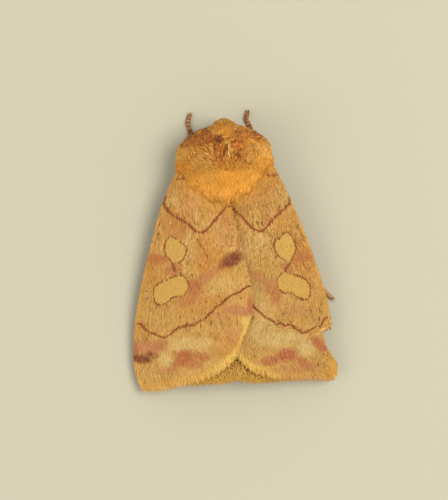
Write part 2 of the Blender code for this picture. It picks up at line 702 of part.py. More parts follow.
clear_scene()
MOTH = new_collection("aspen_twoleaf_tier_moth")
ROOT = bpy.data.objects.new("moth_origin", None)
MOTH.objects.link(ROOT)
main()
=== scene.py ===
"""Looks of the aspen twoleaf tier moth at rest. Sizes are in millimetres until a mesh is made from them."""

import math
from collections import namedtuple

import bmesh
import bpy
import numpy as np
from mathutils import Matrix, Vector


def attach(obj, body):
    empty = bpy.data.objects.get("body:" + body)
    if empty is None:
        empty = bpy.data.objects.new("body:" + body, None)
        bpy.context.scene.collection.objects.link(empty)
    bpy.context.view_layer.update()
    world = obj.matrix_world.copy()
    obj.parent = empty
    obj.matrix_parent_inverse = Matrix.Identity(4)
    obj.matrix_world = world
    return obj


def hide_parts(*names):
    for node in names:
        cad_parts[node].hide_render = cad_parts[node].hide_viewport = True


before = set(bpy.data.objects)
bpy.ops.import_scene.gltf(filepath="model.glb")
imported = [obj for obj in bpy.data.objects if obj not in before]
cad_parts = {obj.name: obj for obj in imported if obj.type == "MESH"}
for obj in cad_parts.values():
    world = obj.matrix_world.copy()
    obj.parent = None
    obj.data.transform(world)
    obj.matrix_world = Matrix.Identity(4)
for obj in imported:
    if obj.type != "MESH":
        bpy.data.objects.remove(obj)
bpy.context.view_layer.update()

# Studio: the moth stands on a pale matt board and the camera looks straight down on its back from a
# quarter of a metre, turned by 4 degrees. A large soft lamp on its right and a bright room light it.
MM = 0.001
PHOTO_SCALE = 12.2  # photo pixels to the millimetre
VIEW_HEIGHT = 500 / PHOTO_SCALE  # what the picture's long side takes in
LENS = 200
SENSOR = 36
WING_LEVEL = 2.9  # the height at which the view's height is measured
VIEW_CENTRE = (-0.622, -0.1)
VIEW_TURN = math.radians(4.1632)
BOARD_DROP = 0.01  # the board's top lies this far below the feet
LAMPS = [  # name, place and size in metres, power in watts
    ("lamp_right", (0.18, 0.02, 0.36), 0.24, 1.3),
    ("lamp_left", (-0.3, -0.08, 0.3), 0.3, 0.5),
]


def linear(code):
    """The linear colour of an sRGB hex code such as D6A95B."""
    parts = [int(code[k:k + 2], 16) / 255 for k in (0, 2, 4)]
    return tuple(p / 12.92 if p <= 0.04045 else ((p + 0.055) / 1.055) ** 2.4 for p in parts) + (1.0,)


def add_node(tree, kind, settings=None, links=None):
    """A new node. A setting is the value of an input if it has one by that name, or else a property."""
    node = tree.nodes.new(kind)
    for name, value in (settings or {}).items():
        if isinstance(name, int) or name in node.inputs:
            node.inputs[name].default_value = value
        else:
            setattr(node, name, value)
    for name, source in (links or {}).items():
        tree.links.new(source, node.inputs[name])
    return node


def new_finish(name):
    """An empty material's tree, and its shader."""
    made = bpy.data.materials.new(name)
    made.use_nodes = True
    tree = made.node_tree
    tree.nodes.clear()
    shader = add_node(tree, "ShaderNodeBsdfPrincipled")
    add_node(tree, "ShaderNodeOutputMaterial", links={"Surface": shader.outputs["BSDF"]})
    return made, tree, shader


def roughen(tree, shader, height, strength, depth):
    """Lets a height from 0 to 1 stand out of the surface by this depth in mm."""
    bump = add_node(tree, "ShaderNodeBump", {"Strength": strength, "Distance": depth * MM},
                    {"Height": height})
    tree.links.new(bump.outputs["Normal"], shader.inputs["Normal"])


def clouds(tree, patch, detail):
    """A soft noise with patches of this size in mm."""
    place = add_node(tree, "ShaderNodeTexCoord").outputs["Object"]
    noise = add_node(tree, "ShaderNodeTexNoise", {"Scale": 1 / (patch * MM), "Detail": detail},
                     {"Vector": place})
    return noise.outputs["Fac"]


scene = bpy.context.scene
scene.view_settings.view_transform = "Standard"
camera_data = bpy.data.cameras.new("camera")
camera_data.lens = LENS
camera_data.sensor_width = SENSOR
camera_data.clip_start = 0.01
camera = bpy.data.objects.new("camera", camera_data)
scene.collection.objects.link(camera)
camera_height = WING_LEVEL + VIEW_HEIGHT * LENS / SENSOR
camera.location = Vector((*VIEW_CENTRE, camera_height)) * MM
camera.rotation_euler = (0, 0, -VIEW_TURN)
scene.camera = camera

# Painted board: a matt pale paint, rolled on, with a fine orange peel.
board_paint, tree, shader = new_finish("matt_pale_board_paint")
roughen(tree, shader, clouds(tree, 0.8, 3.0), 0.15, 0.05)
shader.inputs["Base Color"].default_value = linear("B3AE99")
shader.inputs["Roughness"].default_value = 0.75
board_mesh = bpy.data.meshes.new("board")
board_mesh.from_pydata([(-1, -1, 0), (1, -1, 0), (1, 1, 0), (-1, 1, 0)], [], [(0, 1, 2, 3)])
board = bpy.data.objects.new("board", board_mesh)
board.location.z = -BOARD_DROP * MM
board_mesh.materials.append(board_paint)
scene.collection.objects.link(board)

for name, spot, size, power in LAMPS:
    lamp_data = bpy.data.lights.new(name, "AREA")
    lamp_data.shape = "DISK"
    lamp_data.size = size
    lamp_data.energy = power
    lamp_data.color = (1.0, 0.97, 0.92)
    lamp = bpy.data.objects.new(name, lamp_data)
    lamp.location = spot
    lamp.rotation_euler = Vector(spot).to_track_quat("Z", "Y").to_euler()
    scene.collection.objects.link(lamp)
room = bpy.data.worlds.new("bright_room")
room.use_nodes = True
room.node_tree.nodes["Background"].inputs["Color"].default_value = linear("F2F0EA")
room.node_tree.nodes["Background"].inputs["Strength"].default_value = 0.78
scene.world = room

# Body: head, thorax and abdomen are one soft-walled tube of chitin, parted by the neck and the waist, its
# hind part in seven rings. All of it is hidden by hair, so its skin is plain brown and lies under the coat.
BODY_STATIONS = [  # y, height of the middle, half its width, half its height
    (10.0, 2.7, 0.02, 0.02), (9.93, 2.7, 0.42, 0.42), (9.65, 2.7, 0.88, 0.88), (9.2, 2.7, 1.1, 1.12),
    (8.8, 2.72, 0.98, 1.0), (8.5, 2.76, 0.85, 0.88), (8.25, 2.82, 1.25, 1.15), (7.8, 2.88, 1.85, 1.55),
    (7.0, 2.93, 2.2, 1.84), (6.3, 2.95, 2.25, 1.9), (5.4, 2.92, 2.1, 1.78), (4.5, 2.75, 1.65, 1.4),
    (3.85, 2.4, 1.2, 0.98), (3.35, 2.0, 1.08, 0.82), (2.8, 1.8, 1.3, 0.98), (1.5, 1.68, 1.52, 1.16),
    (-0.5, 1.58, 1.55, 1.2), (-2.5, 1.5, 1.5, 1.15), (-4.5, 1.42, 1.38, 1.06), (-6.3, 1.34, 1.18, 0.9),
    (-7.8, 1.28, 0.9, 0.7), (-8.8, 1.24, 0.6, 0.48), (-9.35, 1.22, 0.3, 0.26), (-9.55, 1.21, 0.02, 0.02),
]
BODY_RINGS = 150
BODY_SIDES = 40
ABDOMEN_FRONT = 3.2
ABDOMEN_RING_LENGTH = 1.75
ABDOMEN_GROOVE = 0.05
ABDOMEN_GROOVE_WIDTH = 0.12  # as a share of a ring
BODY_TABLE_ROWS = 400


def curve_table(points, samples):
    """Points at equal shares of the length of a smooth curve through the given ones."""
    spots = np.array(points, float)
    spots = np.vstack([2 * spots[0] - spots[1], spots, 2 * spots[-1] - spots[-2]])
    runs = np.concatenate([[0], np.cumsum(np.linalg.norm(np.diff(spots[1:-1], axis=0), axis=1))])
    want = np.linspace(0, runs[-1], samples)
    i = np.clip(np.searchsorted(runs, want, side="right") - 1, 0, len(runs) - 2)
    t = ((want - runs[i]) / (runs[i + 1] - runs[i]))[:, None]
    before, a, b, after = spots[i], spots[i + 1], spots[i + 2], spots[i + 3]
    return 0.5 * (2 * a + (b - before) * t + (2 * before - 5 * a + 4 * b - after) * t**2
                  + (3 * a - before - 3 * b + after) * t**3)


def unit(vectors):
    return vectors / np.maximum(np.linalg.norm(vectors, axis=-1, keepdims=True), 1e-9)


BODY_TABLE = curve_table(BODY_STATIONS, BODY_TABLE_ROWS)[::-1]


def body_point(y, turn):
    """A point of the body's skin at y and at this turn round it, 0 on the right and a quarter on top."""
    y_table = np.minimum.accumulate(BODY_TABLE[::-1, 0])[::-1]
    middle, half_width, half_height = (np.interp(y, y_table, BODY_TABLE[:, k]) for k in (1, 2, 3))
    ring = (ABDOMEN_FRONT - y) / ABDOMEN_RING_LENGTH
    groove = ABDOMEN_GROOVE * np.exp(-((ring - np.round(ring)) / ABDOMEN_GROOVE_WIDTH) ** 2)
    groove = groove * (y < ABDOMEN_FRONT + 0.2)
    groove = np.minimum(groove, 0.4 * half_height)
    angle = 2 * np.pi * turn
    x = (half_width - groove) * np.cos(angle)
    z = middle + (half_height - groove) * np.sin(angle)
    return np.stack([x, y + 0 * x, z], axis=-1)


def body_normal(y, turn):
    along = body_point(y + 0.02, turn) - body_point(y - 0.02, turn)
    around = body_point(y, turn + 0.002) - body_point(y, turn - 0.002)
    return unit(np.cross(along, around))


def grid_faces(rows, columns, wrap=False):
    """Four-sided faces of a grid of points, row by row. wrap joins its last column to its first."""
    last = columns if wrap else columns - 1
    row, column = np.meshgrid(np.arange(rows - 1), np.arange(last), indexing="ij")
    nearer, further = row * columns, (row + 1) * columns
    beside = (column + 1) % columns
    quads = np.stack([nearer + column, nearer + beside, further + beside, further + column], -1)
    return quads.reshape(-1, 4)


def mesh_piece(name, points, faces, finish, nodes, marks=None, uv=None):
    """A smooth piece from points in mm, in place of the named nodes. marks are numbers for each point that
    its finish reads."""
    mesh = bpy.data.meshes.new(name)
    corners = np.concatenate([part.ravel() for part in faces]).astype(np.int32)
    sides = np.concatenate([np.full(len(part), part.shape[1]) for part in faces])
    mesh.vertices.add(len(points))
    mesh.vertices.foreach_set("co", (points * MM).ravel())
    mesh.loops.add(len(corners))
    mesh.loops.foreach_set("vertex_index", corners)
    mesh.polygons.add(len(sides))
    mesh.polygons.foreach_set("loop_start", np.concatenate([[0], np.cumsum(sides)[:-1]]).astype(np.int32))
    mesh.update(calc_edges=True)
    for mark, values in (marks or {}).items():
        mesh.attributes.new(mark, "FLOAT", "POINT").data.foreach_set("value", values.astype(np.float32))
    if uv is not None:
        layer = mesh.uv_layers.new(name="OFBake")
        layer.data.foreach_set("uv", uv[corners].astype(np.float32).ravel())
    mesh.shade_smooth()
    mesh.materials.append(finish)
    piece = bpy.data.objects.new(name, mesh)
    scene.collection.objects.link(piece)
    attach(piece, "root")
    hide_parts(*nodes)
    return piece


def mottled(tree, shader, patch, detail, dark, light):
    """A colour that drifts between two, in patches of this size in mm. Returns the drift."""
    cloud = clouds(tree, patch, detail)
    shade = add_node(tree, "ShaderNodeValToRGB", links={"Fac": cloud})
    shade.color_ramp.elements[0].color = linear(dark)
    shade.color_ramp.elements[1].color = linear(light)
    tree.links.new(shade.outputs["Color"], shader.inputs["Base Color"])
    return cloud


# Chitin: a hard brown skin, smooth but dull under the roots of the hair.
chitin, tree, shader = new_finish("brown_chitin")
roughen(tree, shader, mottled(tree, shader, 0.6, 4.0, "8A5A2A", "B98238"), 0.3, 0.03)
shader.inputs["Roughness"].default_value = 0.6

y = np.interp(np.linspace(0, 1, BODY_RINGS), np.linspace(0, 1, BODY_TABLE_ROWS), BODY_TABLE[:, 0])
turn = np.arange(BODY_SIDES) / BODY_SIDES
points = body_point(y[:, None], turn[None, :]).reshape(-1, 3)
ends = np.arange(BODY_SIDES)
caps = [ends[::-1][None, :], (ends + BODY_SIDES * (BODY_RINGS - 1))[None, :]]
faces = [grid_faces(BODY_RINGS, BODY_SIDES, wrap=True)[:, ::-1], *[cap[:, ::-1] for cap in caps]]
mesh_piece("body_skin", points, faces, chitin, ("head", "thorax", "abdomen"))

# Forewings: two dry membranes stretched over veins, each longer than the body, closed like a roof with the
# left one on top at the midline. The tip half of the right one's front edge has a torn nick.
RIDGE_HEIGHT, RIDGE_RISE, RIDGE_ROUNDING = 5.0, 0.085, 0.12
EAVE_HEIGHT, EAVE_RISE, EAVE_CURL = 1.62, 0.1, 0.003
ROOF_HALF_WIDTH, ROOF_WIDEST_Y, ROOF_NARROWING, ROOF_CAMBER = 8.8, -10.0, 0.0155, 0.3
OVERLAP_DIP, OVERLAP_START, OVERLAP_RUN = 0.42, 0.4, 1.9  # start is beyond the left wing's inner edge
OVERLAP_FRONT_Y, OVERLAP_FRONT_RUN = 4.4, 2.2
TABLE = 241
NICK = 50  # rows of the right front edge's table that lie behind its nick
FOREWING_COSTA = {  # the curves are in (distance outwards, y), by side: -1 is the moth's left
    -1: curve_table([(3.1, 7.3), (3.98, 6.8), (5.45, 4.1), (6.7, 0.6), (7.82, -3.0), (8.5, -5.9),
                     (8.75, -8.5), (8.66, -9.9), (8.3, -11.1)], TABLE),
    1: np.vstack([
        curve_table([(3.1, 7.3), (3.82, 6.85), (5.14, 3.8), (6.4, 0.0), (7.44, -4.0), (7.86, -6.86)],
                    TABLE - NICK),
        curve_table([(7.4, -6.98), (6.97, -7.12), (7.02, -7.7), (7.3, -8.8), (7.78, -9.55), (8.12, -10.3)],
                    NICK)]),
}
INNER_ROOT = [(2.85, 6.3), (2.6, 5.6), (1.7, 4.9), (0.5, 4.35), (-0.15, 3.4), (-0.4, 2.3), (-0.95, -0.6)]
FOREWING_INNER = {
    -1: curve_table([*INNER_ROOT, (-1.36, -3.1), (-1.38, -4.6), (-1.2, -5.8)], TABLE),
    1: curve_table([*INNER_ROOT, (-1.35, -3.4), (-1.5, -5.7)], TABLE),
}
FOREWING_TERMEN = {
    -1: curve_table([(8.3, -11.1), (7.9, -11.3), (6.7, -11.3), (5.0, -11.05), (2.95, -10.6), (1.2, -9.75),
                     (0.2, -8.8), (-0.25, -7.7), (-0.78, -6.7), (-1.2, -5.8)], TABLE),
    1: curve_table([(8.12, -10.3), (7.95, -11.1), (7.6, -11.5), (6.6, -11.38), (5.2, -11.28), (3.3, -11.1),
                    (2.2, -10.75), (1.1, -10.3), (0.2, -9.5), (-0.35, -8.6), (-1.2, -7.1),
                    (-1.5, -5.7)], TABLE),
}
FOREWING_VEINS = [  # place across at the root and at the edge, and the share at which it starts
    (0.07, 0.045, 0), (0.17, 0.11, 0), (0.23, 0.22, 0.56), (0.36, 0.345, 0.56), (0.46, 0.475, 0.56),
    (0.52, 0.6, 0), (0.58, 0.74, 0.42), (0.86, 0.91, 0)]
VEIN_RISE = 0.022
VEIN_HALF_WIDTH = 0.09
SKIN_DEPTH = 0.13  # of the membrane's top below the level of the scales' tips
MEMBRANE = 0.1
MEMBRANE_END = 0.972  # the rest is fringe


def smooth_step(value):
    held = np.clip(value, 0, 1)
    return held * held * (3 - 2 * held)


def at(table, share):
    places = np.linspace(0, 1, len(table))
    return np.stack([np.interp(share, places, table[:, k]) for k in (0, 1)], -1)


def roof_height(x, y):
    """The level of the scales' tips on a roof with a rounded ridge."""
    ridge = RIDGE_HEIGHT + RIDGE_RISE * y
    eave = EAVE_HEIGHT + EAVE_RISE * y + EAVE_CURL * y * y
    q = np.abs(x) / (ROOF_HALF_WIDTH - ROOF_NARROWING * (y - ROOF_WIDEST_Y) ** 2)
    r = RIDGE_ROUNDING
    fall = (np.hypot(q, r) - r) / (math.hypot(1, r) - r)
    return ridge - (ridge - eave) * fall + ROOF_CAMBER * 4 * q * (1 - q)


def forewing_height(side, x, y):
    """The roof's level, on the right one sunk where it lies under the left one."""
    if side < 0:
        return roof_height(x, y)
    margin = np.interp(-y, -FOREWING_INNER[-1][:, 1], -FOREWING_INNER[-1][:, 0])
    under = 1 - smooth_step((x - np.maximum(0, margin) - OVERLAP_START) / OVERLAP_RUN)
    behind = smooth_step((OVERLAP_FRONT_Y - y) / OVERLAP_FRONT_RUN)
    return roof_height(x, y) - OVERLAP_DIP * under * behind


def sheet_plan(curves, share, across):
    """Plan points, as distance outwards and y, from the share of the way outwards and the place across."""
    costa, inner, termen = curves
    back = across[..., None]
    straight = at(costa, share) * (1 - back) + at(inner, share) * back
    bulge = at(termen, across) - costa[-1] * (1 - back) - inner[-1] * back
    return straight + bulge * share[..., None] ** 3


def sheet_normal(side, x, y, height):
    step = 0.05
    slope_x = (height(side, x + step, y) - height(side, x - step, y)) / (2 * step)
    slope_y = (height(side, x, y + step) - height(side, x, y - step)) / (2 * step)
    return unit(np.stack([-slope_x, -slope_y, np.ones_like(slope_x)], -1))


# slip is how far a wing lies ahead of its curves, and marks says what its scales wear at a place.
Wing = namedtuple("Wing", "node side curves height veins slip marks finish slot")


def sheet_point(wing, share, across, depth):
    """A point of a wing at a depth below its top, and the way up there."""
    plan = sheet_plan(wing.curves, share, across)
    x, y = wing.side * plan[..., 0], plan[..., 1] + wing.slip
    up = sheet_normal(wing.side, x, y, wing.height)
    return np.stack([x, y, wing.height(wing.side, x, y)], -1) - up * depth[..., None], up


def vein_rise(wing, share, across):
    """How far the nearest vein lifts the membrane."""
    rise = np.zeros_like(share)
    gap = np.linalg.norm(at(wing.curves[0], share) - at(wing.curves[1], share), axis=-1)
    for root, end, start in wing.veins:
        place = root + (end - root) * smooth_step(share)
        away = (across - place) * gap / VEIN_HALF_WIDTH
        rise = np.maximum(rise, VEIN_RISE * np.exp(-away**2) * smooth_step((share - start + 0.02) / 0.03))
    return rise


# Markings of the forewings. Each scale has one colour, so a line is a row of rust-brown scales with a
# ragged edge. They are curves and patches in (distance outwards, y), a little different left and right.
LINES = {  # half its width, and its course
    -1: {
        "inner line": (0.105, [(5.17, 4.69), (5.37, 4.08), (5.08, 3.67), (4.72, 3.19), (4.29, 2.86),
                               (3.72, 2.49), (3.35, 2.17), (2.93, 1.71), (2.55, 1.52), (2.22, 1.53),
                               (1.81, 1.79), (1.38, 2.25), (0.96, 2.68), (0.46, 3.2), (0.1, 3.5),
                               (-0.15, 3.42)]),
        "outer line": (0.09, [(8.25, -5.63), (7.91, -5.69), (7.74, -5.98), (7.32, -6.36), (6.72, -6.62),
                              (6.36, -6.84), (5.91, -6.87), (5.53, -6.67), (5.13, -6.33), (4.67, -6.15),
                              (4.04, -6.03), (3.53, -6.01), (3.13, -5.78), (2.55, -5.51), (2.15, -5.16),
                              (1.61, -4.7), (1.15, -4.42), (0.62, -3.98), (0.1, -3.74), (-0.42, -3.57),
                              (-0.93, -3.25), (-1.31, -3.12)]),
        "base line": (0.1, [(4.1, 6.06), (3.75, 6.0), (3.55, 6.05), (3.2, 6.0)]),
        "vein streak": (0.035, [(2.78, 1.01), (2.44, 0.33), (2.22, -0.21), (1.99, -0.74)]),
        "spot tail": (0.09, [(4.96, -0.94), (4.91, -1.19), (4.79, -1.53)]),
    },
    1: {
        "inner line": (0.1, [(-0.1, 3.5), (0.2, 3.38), (0.6, 2.9), (0.99, 2.57), (1.27, 2.22), (1.56, 1.81),
                             (1.93, 1.45), (2.31, 1.26), (2.71, 1.33), (3.06, 1.57), (3.42, 2.0),
                             (3.83, 2.37), (4.25, 2.67), (4.67, 3.02), (5.03, 3.45), (5.12, 3.84)]),
        "outer line": (0.085, [(1.2, -4.6), (1.68, -5.1), (1.97, -5.4), (2.32, -5.8), (2.8, -6.06),
                               (3.27, -6.44), (3.65, -6.43), (3.95, -6.61), (4.33, -6.58), (4.69, -6.79),
                               (5.05, -7.13), (5.34, -7.34), (5.72, -7.3), (6.18, -7.09), (6.58, -6.9),
                               (6.88, -6.95)]),
        "edge piece": (0.07, [(6.95, -6.9), (7.1, -6.53), (7.44, -6.24), (7.56, -6.28)]),
        "base line": (0.1, [(3.0, 5.8), (3.25, 5.94), (3.56, 5.76), (3.82, 5.77), (4.15, 5.78)]),
        "spot tail": (0.09, [(4.72, -1.63), (4.51, -1.82), (4.29, -2.19)]),
    },
}
SPOTS = {  # outlines of the round and the kidney spot, closed
    -1: [
        [(4.89, 1.39), (4.48, 1.13), (4.17, 0.79), (3.8, 0.49), (3.73, 0.16), (3.82, -0.22),
         (4.08, -0.6), (4.42, -0.84), (4.76, -0.91), (5.01, -0.79), (5.25, -0.42), (5.46, -0.17),
         (5.53, 0.16), (5.52, 0.62), (5.34, 1.0), (5.12, 1.28)],
        [(6.63, -2.82), (6.42, -2.59), (6.17, -2.41), (5.64, -2.25), (4.97, -1.97), (4.57, -1.9),
         (4.18, -1.97), (3.93, -2.25), (3.75, -2.72), (3.82, -3.03), (4.1, -3.45), (4.42, -3.64),
         (4.74, -3.59), (5.09, -3.66), (5.39, -3.89), (5.78, -4.14), (6.23, -4.23), (6.53, -4.09),
         (6.67, -3.8), (6.7, -3.32)],
    ],
    1: [
        [(4.87, 0.88), (4.59, 1.03), (4.24, 0.76), (4.03, 0.51), (3.76, 0.53), (3.57, 0.16),
         (3.57, -0.3), (3.73, -0.77), (3.98, -1.05), (4.36, -1.28), (4.72, -1.63), (4.85, -1.32),
         (5.11, -0.87), (5.33, -0.5), (5.3, -0.03), (5.08, 0.57)],
        [(3.53, -2.87), (3.73, -2.61), (4.09, -2.28), (4.54, -2.31), (4.86, -2.49), (5.31, -2.66),
         (5.81, -2.89), (6.06, -3.1), (6.24, -3.44), (6.27, -3.81), (6.21, -4.2), (6.08, -4.5),
         (5.67, -4.63), (5.36, -4.48), (5.01, -4.27), (4.77, -4.03), (4.4, -3.97), (4.02, -3.91),
         (3.73, -3.7), (3.57, -3.25)],
    ],
}
SPOT_EDGE = 0.06
CURVE_PIECES = 90  # straight pieces into which a line is cut to measure the distance from it
EDGE_SHARE, EDGE_RUN = 0.945, 0.03  # where the paler band along the outer edge starts
COAT_LINE_Y, COAT_LINE_SLOPE = 3.6, 0.75  # the V in front of which golden hair shades the wings
PATCHES = {  # mark, strength, distance outwards, y, half its length, half its width, lean in degrees
    -1: [
        ("plum", 0.95, 0.02, -0.9, 0.9, 0.48, -22), ("plum", 0.5, 0.85, -1.3, 0.4, 0.3, -28),
        ("blush", 0.5, 1.5, -1.75, 0.6, 0.3, -35), ("blush", 0.7, 2.4, -2.3, 0.7, 0.35, -40),
        ("rust", 0.7, 3.3, -3.0, 0.6, 0.7, 0), ("rust", 0.45, 3.9, -3.9, 0.9, 0.5, -20),
        ("rust", 0.65, 6.3, -0.4, 1.0, 0.33, 8), ("rust", 0.6, 4.9, -1.4, 0.55, 0.4, 0),
        ("blush", 0.8, -0.1, -5.05, 1.1, 0.38, 12), ("rust", 0.9, -1.2, -4.7, 0.75, 0.2, 90),
        ("blush", 0.4, 1.3, -5.5, 0.8, 0.3, 20), ("rust", 0.35, 0.4, -7.1, 0.8, 0.5, 60),
        ("rust", 0.95, 4.6, -8.7, 0.75, 0.5, -40), ("rust", 0.6, 3.2, -8.65, 0.75, 0.3, 10),
        ("rust", 0.6, 5.5, -9.4, 0.5, 0.3, -40), ("rust", 0.5, 4.0, -9.1, 0.8, 0.45, 10),
        ("plum", 0.95, 8.2, -8.55, 0.8, 0.33, 12), ("plum", 0.6, 7.2, -8.3, 0.55, 0.26, 14),
        ("blush", 0.7, 7.5, -7.7, 1.0, 0.55, 10), ("rust", 0.5, 6.4, -7.5, 0.6, 0.4, 0),
        ("rust", 0.8, 8.65, -7.7, 0.6, 0.25, 90), ("blush", 0.5, 6.5, -9.6, 0.3, 0.2, 0),
        ("blush", 0.5, 6.85, -9.5, 0.7, 0.08, 90), ("rust", 0.6, -0.6, 0.5, 0.8, 0.12, 100),
        ("pale", 0.65, 6.15, -8.75, 0.6, 0.5, 30), ("pale", 0.5, 4.0, -7.6, 1.8, 0.5, 0),
        ("pale", 0.2, 3.4, 0.2, 0.5, 0.9, 0), ("pale", 0.2, 1.4, -2.9, 0.9, 0.5, -40),
        ("rust", 0.25, 4.6, 2.0, 1.0, 0.6, 0), ("blush", 0.3, 3.4, 3.6, 0.5, 0.9, 0),
        ("gold", 0.4, 5.4, 0.9, 0.7, 0.4, 90), ("butter", 0.7, -0.85, -6.3, 0.6, 0.35, 60),
        ("amber", 0.4, 4.6, 2.4, 1.1, 1.2, 0), ("amber", 0.5, 2.2, 0.0, 1.2, 1.4, 0),
        ("amber", 0.5, 6.4, -1.6, 0.8, 2.6, -12), ("amber", 0.4, 3.0, -4.4, 1.8, 0.8, 0),
        ("amber", 0.6, 1.6, -1.0, 1.4, 1.3, 0),
        ("blush", 0.3, 0.4, 1.6, 0.7, 1.2, 0), ("amber", 0.35, 1.0, -8.2, 1.6, 0.9, 40),
    ],
    1: [
        ("blush", 0.6, 1.0, -1.7, 0.7, 0.4, -40), ("blush", 0.65, 2.1, -2.6, 0.8, 0.3, -40),
        ("blush", 0.6, 3.0, -3.4, 0.5, 0.5, 0), ("rust", 0.6, 3.4, -4.1, 0.45, 0.65, 0),
        ("rust", 0.6, 5.8, -1.1, 1.1, 0.42, 5), ("rust", 0.55, 4.5, -1.95, 0.5, 0.3, -30),
        ("rust", 0.95, 3.95, -9.05, 0.85, 0.45, 5), ("rust", 0.7, 2.6, -9.4, 0.85, 0.35, 10),
        ("rust", 0.6, 5.1, -9.7, 0.7, 0.3, -35), ("blush", 0.6, 5.9, -10.2, 0.4, 0.35, 0),
        ("rust", 0.7, 6.6, -8.3, 0.65, 0.4, -50), ("rust", 0.9, 7.0, -8.75, 0.35, 0.25, 0),
        ("pale", 0.6, 3.4, -7.7, 1.9, 0.55, 0), ("pale", 0.7, 5.5, -8.6, 0.7, 0.6, 0),
        ("blush", 0.35, 3.1, 2.6, 0.35, 0.8, 0), ("pale", 0.2, 2.4, 0.2, 0.6, 0.9, 0),
        ("gold", 0.6, 7.8, -10.4, 0.5, 0.6, 0), ("blush", 0.3, 5.0, -5.5, 1.2, 0.5, 0),
        ("amber", 0.35, 4.6, 1.8, 0.8, 0.9, 0), ("amber", 0.35, 6.0, -1.6, 0.7, 2.4, 12),
        # Painted light: the pale patches at (1.6, -4.2) and (1.0, -0.2) and the long amber and gold strips
        # near the inner edge lift the shade where this wing dips under the left one; the pale ones are also
        # the wing's paler colour there.
        ("pale", 0.35, 1.6, -4.2, 0.8, 1.6, 20), ("pale", 0.4, 2.2, -6.9, 1.2, 0.9, 0),
        ("amber", 0.35, 0.6, 1.4, 2.0, 0.7, 85), ("gold", 0.3, 1.0, -3.0, 2.4, 0.6, 95),
        ("pale", 0.25, 1.0, -0.2, 0.7, 1.6, 0), ("blush", 0.3, 0.6, -2.6, 0.5, 0.9, 0),
        ("blush", 0.3, 4.6, -10.3, 1.6, 0.4, 0),
    ],
}
MARK_NAMES = ("amber", "pale", "gold", "butter", "blush", "rust", "plum", "spot", "line")


def distance_to(points, curve):
    """The distance of each point from a line of short straight pieces, and which piece is nearest."""
    starts, runs = curve[:-1], np.diff(curve, axis=0)
    away = points[:, None, :] - starts[None]
    t = np.clip((away * runs).sum(-1) / np.maximum((runs**2).sum(-1), 1e-9), 0, 1)
    gaps = np.linalg.norm(away - t[..., None] * runs, axis=-1)
    return gaps.min(1), gaps.argmin(1) / len(runs)


def is_inside(points, outline):
    """Whether each point lies inside a closed outline."""
    inside = np.zeros(len(points), bool)
    for a, b in zip(outline, np.roll(outline, -1, axis=0)):
        crosses = (a[1] > points[:, 1]) != (b[1] > points[:, 1])
        reach = a[0] + (points[:, 1] - a[1]) * (b[0] - a[0]) / (b[1] - a[1] + 1e-12)
        inside ^= crosses & (points[:, 0] < reach)
    return inside


def forewing_marks(side, plan, share, across):
    """How strong each mark of the forewing is at plan points."""
    marks = {name: np.zeros(len(plan)) for name in MARK_NAMES}
    for mark, strength, x, y, half_length, half_width, lean in PATCHES[side]:
        turn = math.radians(lean)
        away = plan - (x, y)
        along = (away[:, 0] * math.cos(turn) + away[:, 1] * math.sin(turn)) / half_length
        aside = (away[:, 1] * math.cos(turn) - away[:, 0] * math.sin(turn)) / half_width
        marks[mark] = np.maximum(marks[mark], strength * smooth_step(1.6 - np.hypot(along, aside)))
    edge = smooth_step((share - EDGE_SHARE) / EDGE_RUN)
    front = smooth_step((0.05 - across) / 0.03)
    under_coat = plan[:, 1] - COAT_LINE_Y - COAT_LINE_SLOPE * np.abs(plan[:, 0])
    marks["butter"] = np.maximum(marks["butter"], 0.85 * edge * smooth_step((across - 0.3) / 0.35))
    marks["gold"] = np.maximum.reduce([
        marks["gold"], 0.45 * edge, 0.35 * front, 0.8 * smooth_step((under_coat + 1.5) / 2.1)])
    marks["amber"] = np.maximum(marks["amber"], 0.55 * smooth_step((under_coat + 3.2) / 2.5))
    for half_width, curve in LINES[side].values():
        away, place = distance_to(plan, curve_table(curve, CURVE_PIECES))
        width = half_width * (1 + 0.25 * np.sin(31 * place) * np.sin(13 * place + 1))
        marks["line"] = np.maximum(marks["line"], smooth_step((width - away) / 0.05 + 0.5))
    for outline in SPOTS[side]:
        closed = curve_table([*outline, outline[0]], CURVE_PIECES)
        away, place = distance_to(plan, closed)
        inside = is_inside(plan, closed)
        marks["spot"] = np.maximum(marks["spot"], inside * smooth_step(away / 0.05))
        width = SPOT_EDGE * (0.85 + 0.4 * np.sin(23 * place + 2) * np.sin(9 * place))
        marks["line"] = np.maximum(marks["line"], smooth_step((width - away) / 0.04 + 0.5))
        for other in ("rust", "blush", "pale", "plum", "amber", "gold"):
            marks[other] = marks[other] * ~inside
    return marks


def read_mark(tree, name):
    return add_node(tree, "ShaderNodeAttribute", {"attribute_name": name}).outputs["Fac"]


